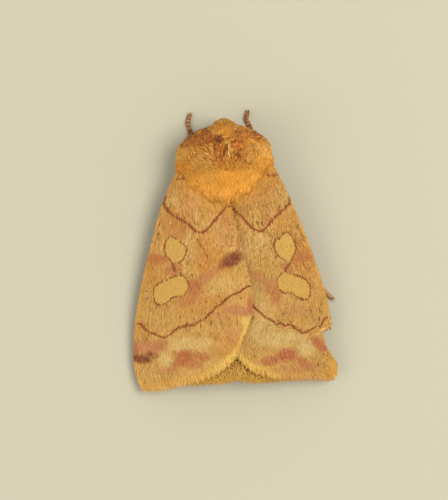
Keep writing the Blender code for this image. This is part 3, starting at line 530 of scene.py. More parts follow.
def wing_finish(name, grounds, marks, roughness):
    """Overlapping chitin scales: dry and matt, each its own tone, with fine ridges from root to tip. Each
    mark is mixed over the ground, in this order. A scale is darker at its root, partly its own colour and
    partly painted shade from the blades that overlap it, and the ground drifts over the wing."""
    made, tree, shader = new_finish(name)
    tone = read_mark(tree, "tone")
    drift = add_node(tree, "ShaderNodeMath", {"operation": "MULTIPLY_ADD", 1: 0.6, 2: -0.3},
                     {0: clouds(tree, 2.2, 2.0)})
    level = add_node(tree, "ShaderNodeMath", {"operation": "ADD"}, {0: tone, 1: drift.outputs[0]})
    ramp = add_node(tree, "ShaderNodeValToRGB", links={"Fac": level.outputs[0]})
    ramp.color_ramp.elements[0].color = linear(grounds[0][1])
    ramp.color_ramp.elements[0].position = grounds[0][0]
    ramp.color_ramp.elements[1].color = linear(grounds[-1][1])
    ramp.color_ramp.elements[1].position = grounds[-1][0]
    for position, code in grounds[1:-1]:
        ramp.color_ramp.elements.new(position).color = linear(code)
    colour = ramp.outputs["Color"]
    for mark, code in marks:
        mix = add_node(tree, "ShaderNodeMixRGB", {"Color2": linear(code)},
                       {"Fac": read_mark(tree, mark), "Color1": colour})
        colour = mix.outputs["Color"]
    wobble = add_node(tree, "ShaderNodeMapRange", {"To Min": 0.84, "To Max": 1.12}, {"Value": tone})
    # Darker towards each blade's root: partly the scales' own darker roots, partly painted shade where the
    # blades above overlap them.
    root_colour_and_shade = add_node(tree, "ShaderNodeMapRange", {"To Min": 0.82, "To Max": 1.06},
                      {"Value": read_mark(tree, "along")})
    bright = add_node(tree, "ShaderNodeMath", {"operation": "MULTIPLY"},
                      {0: wobble.outputs["Result"], 1: root_colour_and_shade.outputs["Result"]})
    colour = add_node(tree, "ShaderNodeHueSaturation", links={"Value": bright.outputs[0], "Color": colour})
    ridges = add_node(tree, "ShaderNodeMath", {"operation": "MULTIPLY", 1: 9.0},
                      {0: read_mark(tree, "across")})
    ridges = add_node(tree, "ShaderNodeMath", {"operation": "SINE"}, {0: ridges.outputs[0]})
    roughen(tree, shader, ridges.outputs[0], 0.4, 0.006)
    tree.links.new(colour.outputs["Color"], shader.inputs["Base Color"])
    shader.inputs["Roughness"].default_value = roughness
    shader.inputs["Specular IOR Level"].default_value = 0.3
    return made


FOREWING_GROUND = [(0.0, "93632F"), (0.09, "B47A3A"), (0.35, "CE9A4C"), (0.65, "DEAD60"), (1.0, "EBCA8A")]
FOREWING_COLOURS = [("amber", "D48C3A"), ("pale", "E8CA82"), ("gold", "EBAC44"), ("butter", "F4CE68"),
                    ("blush", "CC8459"), ("rust", "C26E44"), ("plum", "85402A"), ("spot", "DFB25A"),
                    ("line", "98451F")]
forewing_finish = wing_finish("ochre_forewing_scales", FOREWING_GROUND, FOREWING_COLOURS, 0.62)

MEMBRANE_ROWS = 110
MEMBRANE_COLUMNS = 76
RIM = 0.004  # how far the membrane stays off the wing's front and inner edges, as a share across
WORD = {-1: "left", 1: "right"}
FOREWINGS = [
    Wing(f"forewing_{WORD[side]}", side,
         (FOREWING_COSTA[side], FOREWING_INNER[side], FOREWING_TERMEN[side]),
         forewing_height, FOREWING_VEINS, 0, forewing_marks, forewing_finish, "wing_scales")
    for side in (-1, 1)]


def make_membrane(wing):
    """The wing's skin with its veins, thickened downwards."""
    share, across = (grid.ravel() for grid in np.meshgrid(
        np.linspace(0, MEMBRANE_END, MEMBRANE_ROWS), np.linspace(RIM, 1 - RIM, MEMBRANE_COLUMNS),
        indexing="ij"))
    points, _ = sheet_point(wing, share, across, SKIN_DEPTH - vein_rise(wing, share, across))
    marks = wing.marks(wing.side, sheet_plan(wing.curves, share, across), share, across)
    rng = np.random.default_rng(5)
    marks["tone"] = 0.35 + 0.3 * rng.random(len(points))
    faces = grid_faces(MEMBRANE_ROWS, MEMBRANE_COLUMNS)
    piece = mesh_piece(f"{wing.node}_membrane", points, [faces[:, ::-1] if wing.side < 0 else faces],
                       wing.finish, (wing.node,), marks)
    thickness = piece.modifiers.new("membrane", "SOLIDIFY")
    thickness.thickness = MEMBRANE * MM
    thickness.offset = -1


for wing in FOREWINGS:
    make_membrane(wing)

# Wing scales: flat blades of dry chitin, rooted in the membrane in rows across the wing, each overlapping
# the next like a roof tile. Real ones are 0.1 mm long; these are about twice as long, so that they show.
# Towards the wing's root they are longer and narrower, like hair, and their tones vary more.
TOP_SIZES = (0.083, 0.065, 0.25, 0.084)  # between rows, between neighbours in a row, length, width
UNDER_SIZES = (0.24, 0.14, 0.45, 0.18)
STRETCHES = {"inner": (0.0, 0.58), "outer": (0.58, MEMBRANE_END)}  # each a piece of its own
SCALE_STEPS = np.array([-0.02, 1.0])  # of a scale's rings along it, from just inside the membrane
SCALE_RISES = np.array([-0.01, 1.0]) * 0.03
SCALE_SWELL = [0.65, 0.95]
SCALE_THICKNESS = 0.008
SCALE_SWAY = 0.13
SCALE_LANES = 110  # strips along the wing within which neighbouring scales share a tone
SCALE_RUN = (6, 3)  # how many rows of a strip share it, near the root and near the edge
ROOT_SCALES_END = 0.45
TOP_FLECKS, UNDER_FLECKS = 0.05, 0.02  # shares of the runs that are dark
BAKE_PATCH = 0.003
BAKE_MARGIN = 0.02


def blades(path, sideways, width, thickness, swell, blunt):
    """Closed three-sided blades along the paths, an array of (blade, ring, xyz). swell is the share of the
    width at each ring. A blade that isn't blunt ends in a point, at the last ring."""
    count, rings = path.shape[:2]
    ahead = unit(np.gradient(path, axis=1))
    aside = sideways[:, None, :] - ahead * (sideways[:, None, :] * ahead).sum(-1, keepdims=True)
    aside = unit(aside)
    up = np.cross(aside, ahead)
    half = 0.5 * width[:, None, None] * np.asarray(swell)[None, :, None]
    rise = thickness[:, None, None] * np.asarray(swell)[None, :, None]
    ring = np.stack([path - aside * half, path + up * rise, path + aside * half], axis=2)
    full = rings if blunt else rings - 1
    points = ring[:, :full].reshape(count, full * 3, 3)
    along = np.repeat(np.arange(full) / (rings - 1), 3)
    across = np.tile([-1.0, 0.0, 1.0], full)
    quads, tris = [], [(0, 2, 1)]
    for k in range(full - 1):
        a, b = 3 * k, 3 * k + 3
        quads += [(a, a + 1, b + 1, b), (a + 1, a + 2, b + 2, b + 1), (a + 2, a, b, b + 2)]
    last = 3 * full - 3
    if blunt:
        tris.append((last, last + 1, last + 2))
    else:
        points = np.concatenate([points, path[:, -1:, :]], axis=1)
        along, across = np.append(along, 1.0), np.append(across, 0.0)
        tris += [(last + 1, last + 2, last + 3), (last, last + 1, last + 3), (last + 2, last, last + 3)]
    size = points.shape[1]
    first = (np.arange(count) * size)[:, None, None]
    faces = [(first + np.array(part)[None]).reshape(-1, len(part[0])) for part in (quads, tris)]
    return {"points": points.reshape(-1, 3), "faces": faces, "along": np.tile(along, count),
            "across": np.tile(across, count), "owner": np.repeat(np.arange(count), size)}


def on_unwrap(across, along):
    """Places of roots on an unwrap of the skin, from their shares of the way across and along it."""
    return BAKE_MARGIN + (1 - 2 * BAKE_MARGIN) * np.stack([across, along], -1)


def tuft_paths(root, ahead, up, steps, long, bends, rise):
    """Paths that run ahead from their roots and bend up. steps and bends are their shares at each ring."""
    along = ahead[:, None] * (steps[None, :, None] * long[:, None, None])
    return root[:, None] + along + up[:, None] * (bends[None, :, None] * rise[:, None, None])


def coat_piece(name, coat, roots_uv, marks, finish, node):
    """A joined mesh of blades, with the marks of each, laid out for baking at its root on the skin."""
    owner = coat["owner"]
    patch = np.stack([0.5 * coat["across"], coat["along"] - 0.5], -1) * BAKE_PATCH
    uv = np.clip(roots_uv[owner], BAKE_PATCH, 1 - BAKE_PATCH) + patch
    values = {mark: np.asarray(value)[owner] for mark, value in marks.items()}
    values["along"], values["across"] = coat["along"], coat["across"]
    mesh_piece(name, coat["points"], coat["faces"], finish, (node,), values, uv)


def uneven(marks, rng, count):
    """The marks as each scale wears them: a patch is stronger on one than on the next, a line is even."""
    worn = {}
    for mark, value in marks.items():
        spread = 0.0 if mark == "spot" else 0.45
        worn[mark] = np.clip(value * (1 + spread * rng.uniform(-1, 1, count)), 0, 1)
    return worn


def turned(vectors, axes, angles):
    """The vectors turned about the axes, which stand square to them."""
    angles = angles[:, None]
    return vectors * np.cos(angles) + np.cross(axes, vectors) * np.sin(angles)


def wing_scales(wing, word, seed, sizes, flecks, below=False, stretch=(0.0, MEMBRANE_END)):
    """Rows of scales over a stretch of a wing's top, or of its underside if below. flecks is the share of
    them that is dark."""
    row_gap, column_gap, length, width = sizes
    rng = np.random.default_rng(seed)
    middle = np.diff(sheet_plan(wing.curves, np.linspace(0, 1, 50), np.full(50, 0.4)), axis=0)
    first, last = stretch
    rows = int(np.linalg.norm(middle, axis=1).sum() * (last - first) / row_gap)
    shares, places, row_numbers = [], [], []
    for row in range(rows):
        share = first + (row + 0.5) / rows * (last - first)
        ends = sheet_plan(wing.curves, np.array([share, share]), np.array([0.0, 1.0]))
        count = max(3, int(np.linalg.norm(ends[0] - ends[1]) / column_gap))
        places.append((np.arange(count) + rng.uniform(0.1, 0.9, count)) / count)
        shares.append(share + rng.uniform(-0.5, 0.5, count) * (last - first) / rows)
        row_numbers.append(np.full(count, row))
    share, across = np.clip(np.concatenate(shares), 0.002, MEMBRANE_END), np.concatenate(places)
    count = len(share)
    depth = SKIN_DEPTH + MEMBRANE * below - vein_rise(wing, share, across) * (not below)
    root, up = sheet_point(wing, share, across, depth)
    ahead_of, _ = sheet_point(wing, share + 0.01, across, depth)
    heading = unit(ahead_of - root)
    if below:
        up = -up
    heading = unit(heading - up * (heading * up).sum(-1, keepdims=True))
    heading = turned(heading, up, rng.normal(0, SCALE_SWAY, count))
    stringy = smooth_step((0.5 - share) / 0.3)
    long = length * rng.uniform(0.8, 1.2, count) * (1 + 0.8 * stringy)
    wide = width * rng.uniform(0.8, 1.15, count) * (1 - 0.2 * stringy)
    path = tuft_paths(root, heading, up, SCALE_STEPS, long, SCALE_RISES, rng.uniform(0.75, 1.35, count))
    coat = blades(path, np.cross(heading, up), wide, np.full(count, SCALE_THICKNESS), SCALE_SWELL, True)
    seen = sheet_plan(wing.curves, share, across)  # a scale wears the marks of the place where it is seen
    seen = seen + np.stack([wing.side * heading[:, 0], heading[:, 1]], -1) * (0.7 * long[:, None])
    marks = uneven(wing.marks(wing.side, seen, share, across), rng, count)
    calm = smooth_step((share - 0.4) / 0.3)
    lane = np.minimum((across * SCALE_LANES).astype(int), SCALE_LANES - 1)
    run = ((np.concatenate(row_numbers) + rng.uniform(0, 9, SCALE_LANES)[lane])
           / np.where(share < ROOT_SCALES_END, *SCALE_RUN)).astype(int)
    streak = rng.normal(0, 1, (SCALE_LANES, run.max() + 1))[lane, run]
    dash = rng.random((SCALE_LANES, run.max() + 1))[lane, run]
    tone = 0.5 + streak * (0.15 - 0.06 * calm) + rng.normal(0, 1, count) * (0.1 - 0.04 * calm)
    tone = np.clip(tone, 0.12, 1)
    dark = dash < flecks * (1 - marks.get("spot", 0)) * (1 - 0.4 * calm)
    tone[dark & (rng.random(count) < 0.7)] = 0.0
    marks["tone"] = tone
    coat_piece(f"{wing.node}_{word}", coat, on_unwrap(across, share), marks, wing.finish,
               wing.node)


def plain_marks(side, plan, share, across):
    """The underside has no markings."""
    return {name: np.zeros(len(plan)) for name in MARK_NAMES}


for wing in FOREWINGS:
    for word, stretch in STRETCHES.items():
        wing_scales(wing, f"{word}_scales", 11 + wing.side, TOP_SIZES, TOP_FLECKS, stretch=stretch)
    wing_scales(wing._replace(marks=plain_marks), "under_scales", 21 + wing.side, UNDER_SIZES, UNDER_FLECKS,
                below=True)

# Fringe: long narrow scales in three layers along a wing's outer edge, set in small points, and a short row
# of them along its front and inner edges. They carry on past the membrane to the wing's full outline.
FRINGE_LAYERS = 3
FRINGE_STEP = 0.045
FRINGE_WIDTH = 0.08
FRINGE_THICKNESS = 0.015
FRINGE_TOOTH = 0.18
FRINGE_TOOTH_LENGTH = 0.5
FRINGE_REACH, FRINGE_LAYER_STEP = 0.1, 0.06  # past the wing's outline, and how much less for each layer
FRINGE_STEPS = np.array([-0.1, 0.55, 1.0])
FRINGE_SAG = np.array([0, 0.025, 0.05])
FRINGE_SWELL = [0.7, 1.0, 0.4]
RIM_SCALES = 420  # along the front edge, and again along the inner one
RIM_SCALE_LENGTH = (0.16, 0.3)


def make_fringe(wing, seed):
    """The fringe of the outer edge, and the rows along the front and inner edges."""
    rng = np.random.default_rng(seed)
    edge = sheet_plan(wing.curves, np.ones(200), np.linspace(0, 1, 200))
    run = np.concatenate([[0], np.cumsum(np.linalg.norm(np.diff(edge, axis=0), axis=1))])
    shares, places, reaches, sides = [], [], [], []
    for layer in range(FRINGE_LAYERS):
        count = int(run[-1] / FRINGE_STEP)
        spot = (np.arange(count) + rng.uniform(0, 1, count)) / count * run[-1]
        across = np.interp(spot, run, np.linspace(0, 1, 200))
        shares.append(MEMBRANE_END - 0.008 * layer - rng.uniform(0, 0.006, count))
        places.append(np.clip(across, 0.003, 0.997))
        tooth = np.abs((spot / FRINGE_TOOTH_LENGTH) % 1 - 0.5) * 2
        reaches.append(FRINGE_REACH - FRINGE_TOOTH * tooth * (0.4 + 0.6 * smooth_step(across / 0.4))
                       - FRINGE_LAYER_STEP * layer)
        sides.append(np.zeros(count))
    for edge_place, outwards in ((RIM, -1), (1 - RIM, 1)):
        shares.append(rng.uniform(0.03, MEMBRANE_END, RIM_SCALES))
        places.append(np.full(RIM_SCALES, edge_place))
        reaches.append(np.zeros(RIM_SCALES))
        sides.append(np.full(RIM_SCALES, outwards))
    share, across, reach, outwards = (np.concatenate(part) for part in (shares, places, reaches, sides))
    count = len(share)
    deep = np.full(count, SKIN_DEPTH + 0.4 * MEMBRANE) - rng.uniform(-0.03, 0.05, count)
    root, up = sheet_point(wing, share, across, deep)
    end, _ = sheet_point(wing, np.where(outwards == 0, 1.0, share + 0.01), across, deep)
    heading = end - root
    full = np.linalg.norm(heading, axis=1) + reach + rng.normal(0, 0.03, count)
    heading = unit(heading)
    lean = np.cross(heading, up) * wing.side
    heading = unit(heading + np.where(outwards == 0, 0.0, 0.35)[:, None] * lean * -outwards[:, None])
    full = np.where(outwards == 0, full, rng.uniform(*RIM_SCALE_LENGTH, count))
    heading = turned(heading, up, rng.normal(0, 0.1, count))
    path = tuft_paths(root, heading, up, FRINGE_STEPS, full, -FRINGE_SAG, rng.uniform(-0.6, 1.4, count))
    wide = FRINGE_WIDTH * rng.uniform(0.7, 1.1, count)
    coat = blades(path, np.cross(heading, up), wide, np.full(count, FRINGE_THICKNESS), FRINGE_SWELL, True)
    plan = sheet_plan(wing.curves, share, across)
    marks = uneven(wing.marks(wing.side, plan, share, across), rng, count)
    marks["tone"] = np.clip(rng.normal(0.6, 0.14, count), 0.15, 1)
    coat_piece(f"{wing.node}_fringe", coat, on_unwrap(across, share), marks, wing.finish,
               wing.node)


for wing in FOREWINGS:
    make_fringe(wing, 31 + wing.side)

# Hindwings: shorter, softer membranes folded out of sight under the forewings. Only their outer edge shows,
# in the notch at the back, ochre-brown and in shade, the left one over the right one.
HINDWING_DROP = 1.02  # below the forewings
HINDWING_EDGE_LIFT, HINDWING_LIFT_FROM_Y, HINDWING_LIFT_RUN = 0.4, -8.6, 1.5
HINDWING = (
    curve_table([(2.85, 4.5), (3.7, 2.7), (4.7, -0.6), (5.7, -4.4), (6.3, -7.8), (6.35, -9.7)], TABLE),
    curve_table([(2.25, 3.7), (2.32, 2.3), (2.25, -1.5), (2.0, -5.0), (1.0, -7.6), (-0.1, -9.3),
                 (-0.55, -10.6)], TABLE),
    curve_table([(6.35, -9.7), (5.6, -10.6), (4.3, -11.05), (2.8, -11.1), (1.0, -11.05), (-0.55, -10.6)],
                TABLE),
)
HINDWING_VEINS = [(0.1, 0.1, 0), (0.3, 0.3, 0), (0.45, 0.47, 0.5), (0.55, 0.62, 0), (0.68, 0.78, 0),
                  (0.9, 0.92, 0)]
HINDWING_SLIP = {-1: 0.05, 1: -0.15}
HINDWING_SIZES = (0.17, 0.105, 0.4, 0.135)
HINDWING_FLECKS = 0.04
HINDWING_GROUND = [(0.0, "8A5E28"), (0.2, "B98638"), (0.6, "CE9C46"), (1.0, "E2BA6A")]
HINDWING_COLOURS = [("gold", "DCA644"), ("blush", "A8743A")]
hindwing_finish = wing_finish("shaded_ochre_hindwing_scales", HINDWING_GROUND, HINDWING_COLOURS, 0.65)


def hindwing_height(side, x, y):
    up = sheet_normal(side, x, y, forewing_height)
    lift = HINDWING_EDGE_LIFT * smooth_step((HINDWING_LIFT_FROM_Y - y) / HINDWING_LIFT_RUN)
    return forewing_height(side, x, y) - (HINDWING_DROP - lift) / up[..., 2]


def hindwing_marks(side, plan, share, across):
    """A golden edge, and two thin darker lines along it."""
    lines = 0.6 * np.exp(-((share - 0.9) / 0.012) ** 2) + 0.3 * np.exp(-((share - 0.96) / 0.008) ** 2)
    return {"gold": smooth_step((share - 0.93) / 0.05), "blush": lines}


for side in (-1, 1):
    wing = Wing(f"hindwing_{WORD[side]}", side, HINDWING, hindwing_height, HINDWING_VEINS,
                HINDWING_SLIP[side], hindwing_marks, hindwing_finish, "hindwing_scales")
    make_membrane(wing)
    for below, word in ((False, "scales"), (True, "under_scales")):
        wing_scales(wing, word, 41 + side + 2 * below, HINDWING_SIZES, HINDWING_FLECKS, below)
    make_fringe(wing, 51 + side)

# Coat of the thorax: long hair-like scales that stand up from the body and lie back over the wing bases, a
# tousled crown with dark tips in the middle, pale tufts at the shoulders and golden hair behind.
COAT_EDGE = [(0, 10.3), (0.95, 10.12), (2.2, 9.76), (2.8, 9.42), (3.4, 8.9), (3.84, 8.38), (3.92, 7.6),
             (4.03, 6.95), (4.0, 6.52), (3.6, 6.38), (2.95, 5.92), (2.2, 5.15), (1.3, 4.4), (0.6, 3.95),
             (0, 3.6)]
COAT_MIDDLE = np.array([-0.08, 6.9])  # the moth's coat lies a little more to its left
COAT_ROOTS = np.array([0.0, 6.75])  # where the tufts that stand up from the skin spread from
COAT_TOP, COAT_TOP_Y = 6.35, 6.9
COAT_FALL = (0.17, 0.12)  # for each square millimetre to the side, and along the body
CROWN = (0.3, 7.2, 2.0, 1.6)  # a low swelling in the middle: height, y, half its width, half its length
COAT_CLEARANCE = 0.7  # of the deep coat above the wings, ahead of where it thins out
COAT_REAR_Y, COAT_REAR_LEAN = 3.3, 0.74  # the V behind which no hair lies on the wings
COAT_REAR_RUN = 3.4  # from there to the coat's full depth
COAT_THIN_END = -0.08  # of the last hairs above the wings' full height
COAT_SIDE_DROP = 1.0  # of the hair at the coat's edge below its dome
RAGGED_Y = 6.2  # behind it the coat has no clear edge
WING_ROOTS_FRONT = 8.8
BARE_MIDDLE_Y = 7.0
BARE_MIDDLE_RADIUS, BARE_MIDDLE_RUN = 1.4, 1.6
HAIR_SINK = 0.22  # of a tuft's root below the coat's surface
HAIR_FLOW = np.array([  # place and direction of the hair seen from above, on the moth's right
    (0, 10.2, 0, 1), (1.2, 10.0, 0.5, 0.87), (2.6, 9.5, 0.75, 0.6), (3.5, 8.7, 0.9, -0.1),
    (3.9, 7.4, 0.3, -0.9), (3.8, 6.3, 0.05, -1), (2.8, 5.6, -0.15, -1), (1.4, 4.7, -0.35, -0.93),
    (0, 3.6, 0, -1), (0, 9.3, 0, 0.9), (1.2, 9.2, 0.6, 0.3), (2.4, 8.8, 0.9, -0.2), (0, 8.5, -0.3, -0.6),
    (1.1, 8.2, -0.7, -0.6), (2.1, 7.9, -0.7, -0.7), (0, 7.4, 0, -1), (1.2, 7.0, -0.8, -0.6),
    (2.4, 6.9, -0.5, -0.85), (0, 6.0, 0, -1), (1.2, 5.8, -0.35, -0.93), (3.2, 7.4, -0.1, -0.95)])
COAT_PATCHES = [  # mark, strength, x, y, half its width, half its length
    ("plum", 0.9, -0.5, 8.85, 0.4, 0.36), ("plum", 0.3, -1.4, 8.75, 0.8, 0.32),
    ("plum", 0.4, 1.2, 8.95, 0.2, 0.5), ("rust", 0.62, -2.0, 9.05, 1.5, 0.62),
    ("rust", 0.5, 1.9, 9.2, 1.5, 0.5), ("rust", 0.75, 0.95, 8.0, 0.4, 0.45),
    ("rust", 0.7, 1.2, 7.3, 0.3, 0.4), ("rust", 0.55, -3.2, 8.7, 0.6, 0.4),
    ("rust", 0.6, 3.1, 8.85, 0.5, 0.4), ("rust", 0.6, -0.4, 7.8, 0.5, 0.5),
    ("rust", 0.5, -0.4, 6.9, 0.5, 0.5), ("rust", 0.4, 0.6, 9.6, 0.3, 0.6),
    ("pale", 0.75, -3.75, 7.8, 0.5, 0.6), ("pale", 0.65, 3.6, 7.7, 0.6, 0.65),
    ("pale", 0.5, 0.6, 7.75, 0.35, 0.25), ("pale", 0.3, 1.9, 7.4, 0.7, 0.6),
    ("pale", 0.3, -1.7, 7.2, 0.8, 0.5), ("gold", 0.5, 0.0, 5.2, 3.0, 1.3),
    ("gold", 0.5, -3.4, 6.6, 0.9, 1.0), ("gold", 0.55, 3.3, 6.5, 0.9, 0.9),
    ("gold", 0.8, 0.0, 10.0, 0.8, 0.8), ("rust", 0.3, -3.8, 6.5, 0.5, 0.4),
    ("rust", 0.25, 3.8, 6.3, 0.5, 0.3)]
HAIR_SPLAY = 0.5  # how far a tuft is rolled about its length, in radians
CROWN_HAIR_Y = 7.9  # the middle of the tousled hair, which is more uneven in tone and in direction
CROWN_DARK_SHARE = 0.24  # of its locks that are dark
SKIN_TOP = (2.95, 1.85)  # height of the thorax's middle, and how far its skin rises above that
UNWRAP_BACK_Y, UNWRAP_RUN = -10, 21  # the stretch of the body that its unwrap takes in
HAIR_GROUND = [(0.0, "6A3B16"), (0.12, "AE6A26"), (0.45, "D08A30"), (0.75, "E2A544"), (1.0, "F0C172")]
HAIR_COLOURS = [("rust", "CC6E28"), ("gold", "F6AA3A"), ("pale", "EFB95C"), ("plum", "7E3A20"),
                ("dark", "7A4A20")]
hair_finish = wing_finish("golden_hair_scales", HAIR_GROUND, HAIR_COLOURS, 0.6)
EDGE_TABLE = curve_table(COAT_EDGE, 200)
EDGE_RAYS = EDGE_TABLE - (0, COAT_MIDDLE[1])
EDGE_ANGLES = np.arctan2(np.abs(EDGE_RAYS[:, 0]), EDGE_RAYS[:, 1])


def wings_below(x, y):
    """The height of the wings' top, the right one dipping under the left one."""
    beside = smooth_step((x + 0.2) / 0.5)
    return roof_height(x, y) * (1 - beside) + forewing_height(1, x, y) * beside


def coat_level(x, y):
    """The top of the deep coat: a dome that keeps clear above the wings."""
    dome = COAT_TOP - COAT_FALL[0] * x**2 - COAT_FALL[1] * (y - COAT_TOP_Y) ** 2
    clear = roof_height(x, y) + COAT_CLEARANCE
    beside = np.hypot(x, 1.2 * (y - BARE_MIDDLE_Y)) - BARE_MIDDLE_RADIUS
    over = smooth_step((WING_ROOTS_FRONT - y) / 0.8) * smooth_step(beside / BARE_MIDDLE_RUN)
    crown = CROWN[0] * np.exp(-((x / CROWN[2]) ** 2) - ((y - CROWN[1]) / CROWN[3]) ** 2)
    return dome + np.maximum(0.0, clear - dome) * over + crown


def coat_reach(plan):
    """How far out each point is, from 0 in the coat's middle to 1 on its outline."""
    ray = plan - COAT_MIDDLE
    angle = np.arctan2(np.abs(ray[:, 0]), ray[:, 1])
    return np.linalg.norm(ray, axis=1) / np.interp(angle, EDGE_ANGLES, np.linalg.norm(EDGE_RAYS, axis=1))


def drawn_in(plan):
    """The points with those beyond the coat's clear edge, at the front and sides, brought back to it."""
    reach = coat_reach(plan)
    beyond = (reach > 1.01) & (plan[:, 1] > RAGGED_Y)
    return np.where(beyond[:, None], COAT_MIDDLE + (plan - COAT_MIDDLE) / reach[:, None], plan)


def coat_surface(plan):
    """The coat's level with its edges: rounded down at the front and sides, thinning out onto the wings."""
    x, y = plan[:, 0], plan[:, 1]
    rounded = smooth_step((coat_reach(plan) - 0.72) / 0.36) * smooth_step((y - RAGGED_Y) / 1.5)
    level = coat_level(x, y) - COAT_SIDE_DROP * rounded
    depth = smooth_step((y - COAT_REAR_Y - COAT_REAR_LEAN * np.abs(x)) / COAT_REAR_RUN)
    depth = np.maximum(depth, smooth_step(y - WING_ROOTS_FRONT + 1.0))
    low = wings_below(x, y) + COAT_THIN_END
    return np.where(y < WING_ROOTS_FRONT, low + (level - low) * depth, level)


def hair_flow(plan):
    """The hair's direction seen from above at each point."""
    strokes = np.vstack([HAIR_FLOW, HAIR_FLOW * (-1, 1, -1, 1)])
    pull = 1 / (0.08 + ((plan[:, None, :] - strokes[None, :, :2]) ** 2).sum(-1)) ** 2
    return unit((pull[..., None] * unit(strokes[:, 2:])[None]).sum(1))


def coat_marks(plan):
    """How strong each mark of the coat is at plan points."""
    marks = {name: np.zeros(len(plan)) for name, _ in HAIR_COLOURS}
    for mark, strength, x, y, half_width, half_length in COAT_PATCHES:
        away = np.hypot((plan[:, 0] - x) / half_width, (plan[:, 1] - y) / half_length)
        marks[mark] = np.maximum(marks[mark], strength * smooth_step(1.6 - away))
    return marks


def along_body(y):
    """The share of the way forward along the body's unwrap."""
    return (y - UNWRAP_BACK_Y) / UNWRAP_RUN


def swing(directions, angles):
    """Flat directions turned by angles."""
    return np.stack([directions[:, 0] * np.cos(angles) - directions[:, 1] * np.sin(angles),
                     directions[:, 0] * np.sin(angles) + directions[:, 1] * np.cos(angles)], -1)


def curved_blades(root, middle, tip, width, roll):
    """Pointed tufts that run through three places each, turned about their length by roll."""
    t = np.array([0, 0.35, 0.7, 1.0])[None, :, None]
    bend = 2 * middle - 0.5 * (root + tip)
    path = root[:, None] * (1 - t) ** 2 + 2 * bend[:, None] * t * (1 - t) + tip[:, None] * t**2
    ahead = unit(path[:, -1] - path[:, 1])
    aside = turned(unit(np.cross(ahead, np.tile([0.0, 0, 1], (len(path), 1)))), ahead, roll)
    return path, blades(path, aside, width, 0.35 * width, [0.7, 1.0, 0.8, 0], False)


def thorax_coat(name, locks, tufts, seed, length, width, lifts, from_skin=False, rear_only=False):
    """Locks of tufts whose tips are spread over the coat's outline. The tufts of a lock share a tone. They
    lie close together on the crown and the collars, and loose elsewhere. Hair from the skin stands up
    through the coat, the rest lies on it. lifts are how far tips stand off its surface, from and to."""
    rng = np.random.default_rng(seed)
    tries = 4 * locks
    place, reach = rng.uniform(-1, 1, tries), np.sqrt(rng.uniform(0, 1, tries))
    ray = at(EDGE_RAYS, np.abs(place)) * np.stack([np.sign(place), np.ones(tries)], -1)
    ragged = smooth_step((RAGGED_Y - COAT_MIDDLE[1] - ray[:, 1]) / 0.8)
    reach = reach * (1 + rng.uniform(-0.03, 0.02, tries) + ragged * rng.uniform(-0.22, 0.2, tries))
    lead = COAT_MIDDLE + ray * reach[:, None]
    lead = lead[lead[:, 1] < 7.2 + rng.normal(0, 0.2, tries)] if rear_only else lead
    lead = lead[:locks]
    crowned = np.exp(-((lead[:, 0] / 2.4) ** 2) - ((lead[:, 1] - CROWN_HAIR_Y) / 1.2) ** 2)
    tousled = np.maximum(crowned, 0.5 * smooth_step((lead[:, 1] - 8.3) / 0.6))
    lead_flow = swing(hair_flow(lead), rng.normal(0, 1, locks) * (0.08 + 0.35 * crowned))
    lead_tone = np.clip(rng.normal(0.55, 0.16 + 0.12 * tousled), 0.14, 1)
    lead_tone[rng.random(locks) < 0.03 + CROWN_DARK_SHARE * tousled] = 0.03
    lead_lift = rng.uniform(-0.12, 0.16, locks) * tousled
    owner = np.repeat(np.arange(locks), tufts)
    count = len(owner)
    loose = 1 - tousled[owner]
    flow = swing(lead_flow[owner], rng.normal(0, 0.07, count))
    aside = swing(flow, np.full(count, np.pi / 2))
    offset = aside * (rng.normal(0, 1, count) * (0.05 + 0.11 * loose))[:, None]
    offset = offset + flow * (rng.uniform(-1, 1, count) * (0.12 + 0.15 * loose))[:, None]
    tip = drawn_in(lead[owner] + offset * (0.6 + 0.4 * loose)[:, None])
    behind, ahead_of = smooth_step((7.0 - tip[:, 1]) / 1.5), smooth_step((tip[:, 1] - 8.8) / 0.8)
    long = length * rng.uniform(0.75, 1.25, count) * (1 + 0.7 * behind - 0.4 * ahead_of)
    lift = (rng.uniform(*lifts, count) + lead_lift[owner]) * (1 - 0.8 * behind)
    if from_skin:
        root = COAT_ROOTS + (tip - COAT_ROOTS) * rng.uniform(0.35, 0.6, count)[:, None]
        out = np.hypot(root[:, 0] / 2.4, (root[:, 1] - 6.3) / 2.9)
        root_z = SKIN_TOP[0] + SKIN_TOP[1] * np.sqrt(np.maximum(0.05, 1 - out**2))
        middle = root + (tip - root) * 0.5
        middle_z = root_z + (coat_surface(tip) - root_z) * 0.8
    else:
        root = drawn_in(lead[owner] + offset - flow * long[:, None])
        root_z = coat_surface(root) - HAIR_SINK
        middle = root + (tip - root) * 0.5
        middle_z = coat_surface(middle) + 0.4 * lift
    tip_z = coat_surface(tip) + lift
    wide = width * rng.uniform(0.7, 1.3, count)
    path, coat = curved_blades(np.column_stack([root, root_z]), np.column_stack([middle, middle_z]),
                               np.column_stack([tip, tip_z]), wide, rng.normal(0, HAIR_SPLAY, count))
    marks = uneven(coat_marks(tip), rng, count)
    marks["tone"] = np.clip(lead_tone[owner] + rng.normal(0, 0.05, count), 0, 1)
    for mark in ("gold", "rust", "pale"):
        marks[mark] = marks[mark] * np.where(lead_tone[owner] < 0.1, 0.3, 1.0)
    turn = np.arctan2(path[:, 2, 2] - SKIN_TOP[0], tip[:, 0]) / (2 * np.pi)
    coat_piece(name, coat, on_unwrap(turn % 1, along_body(path[:, 0, 1])), marks, hair_finish,
               "thorax")


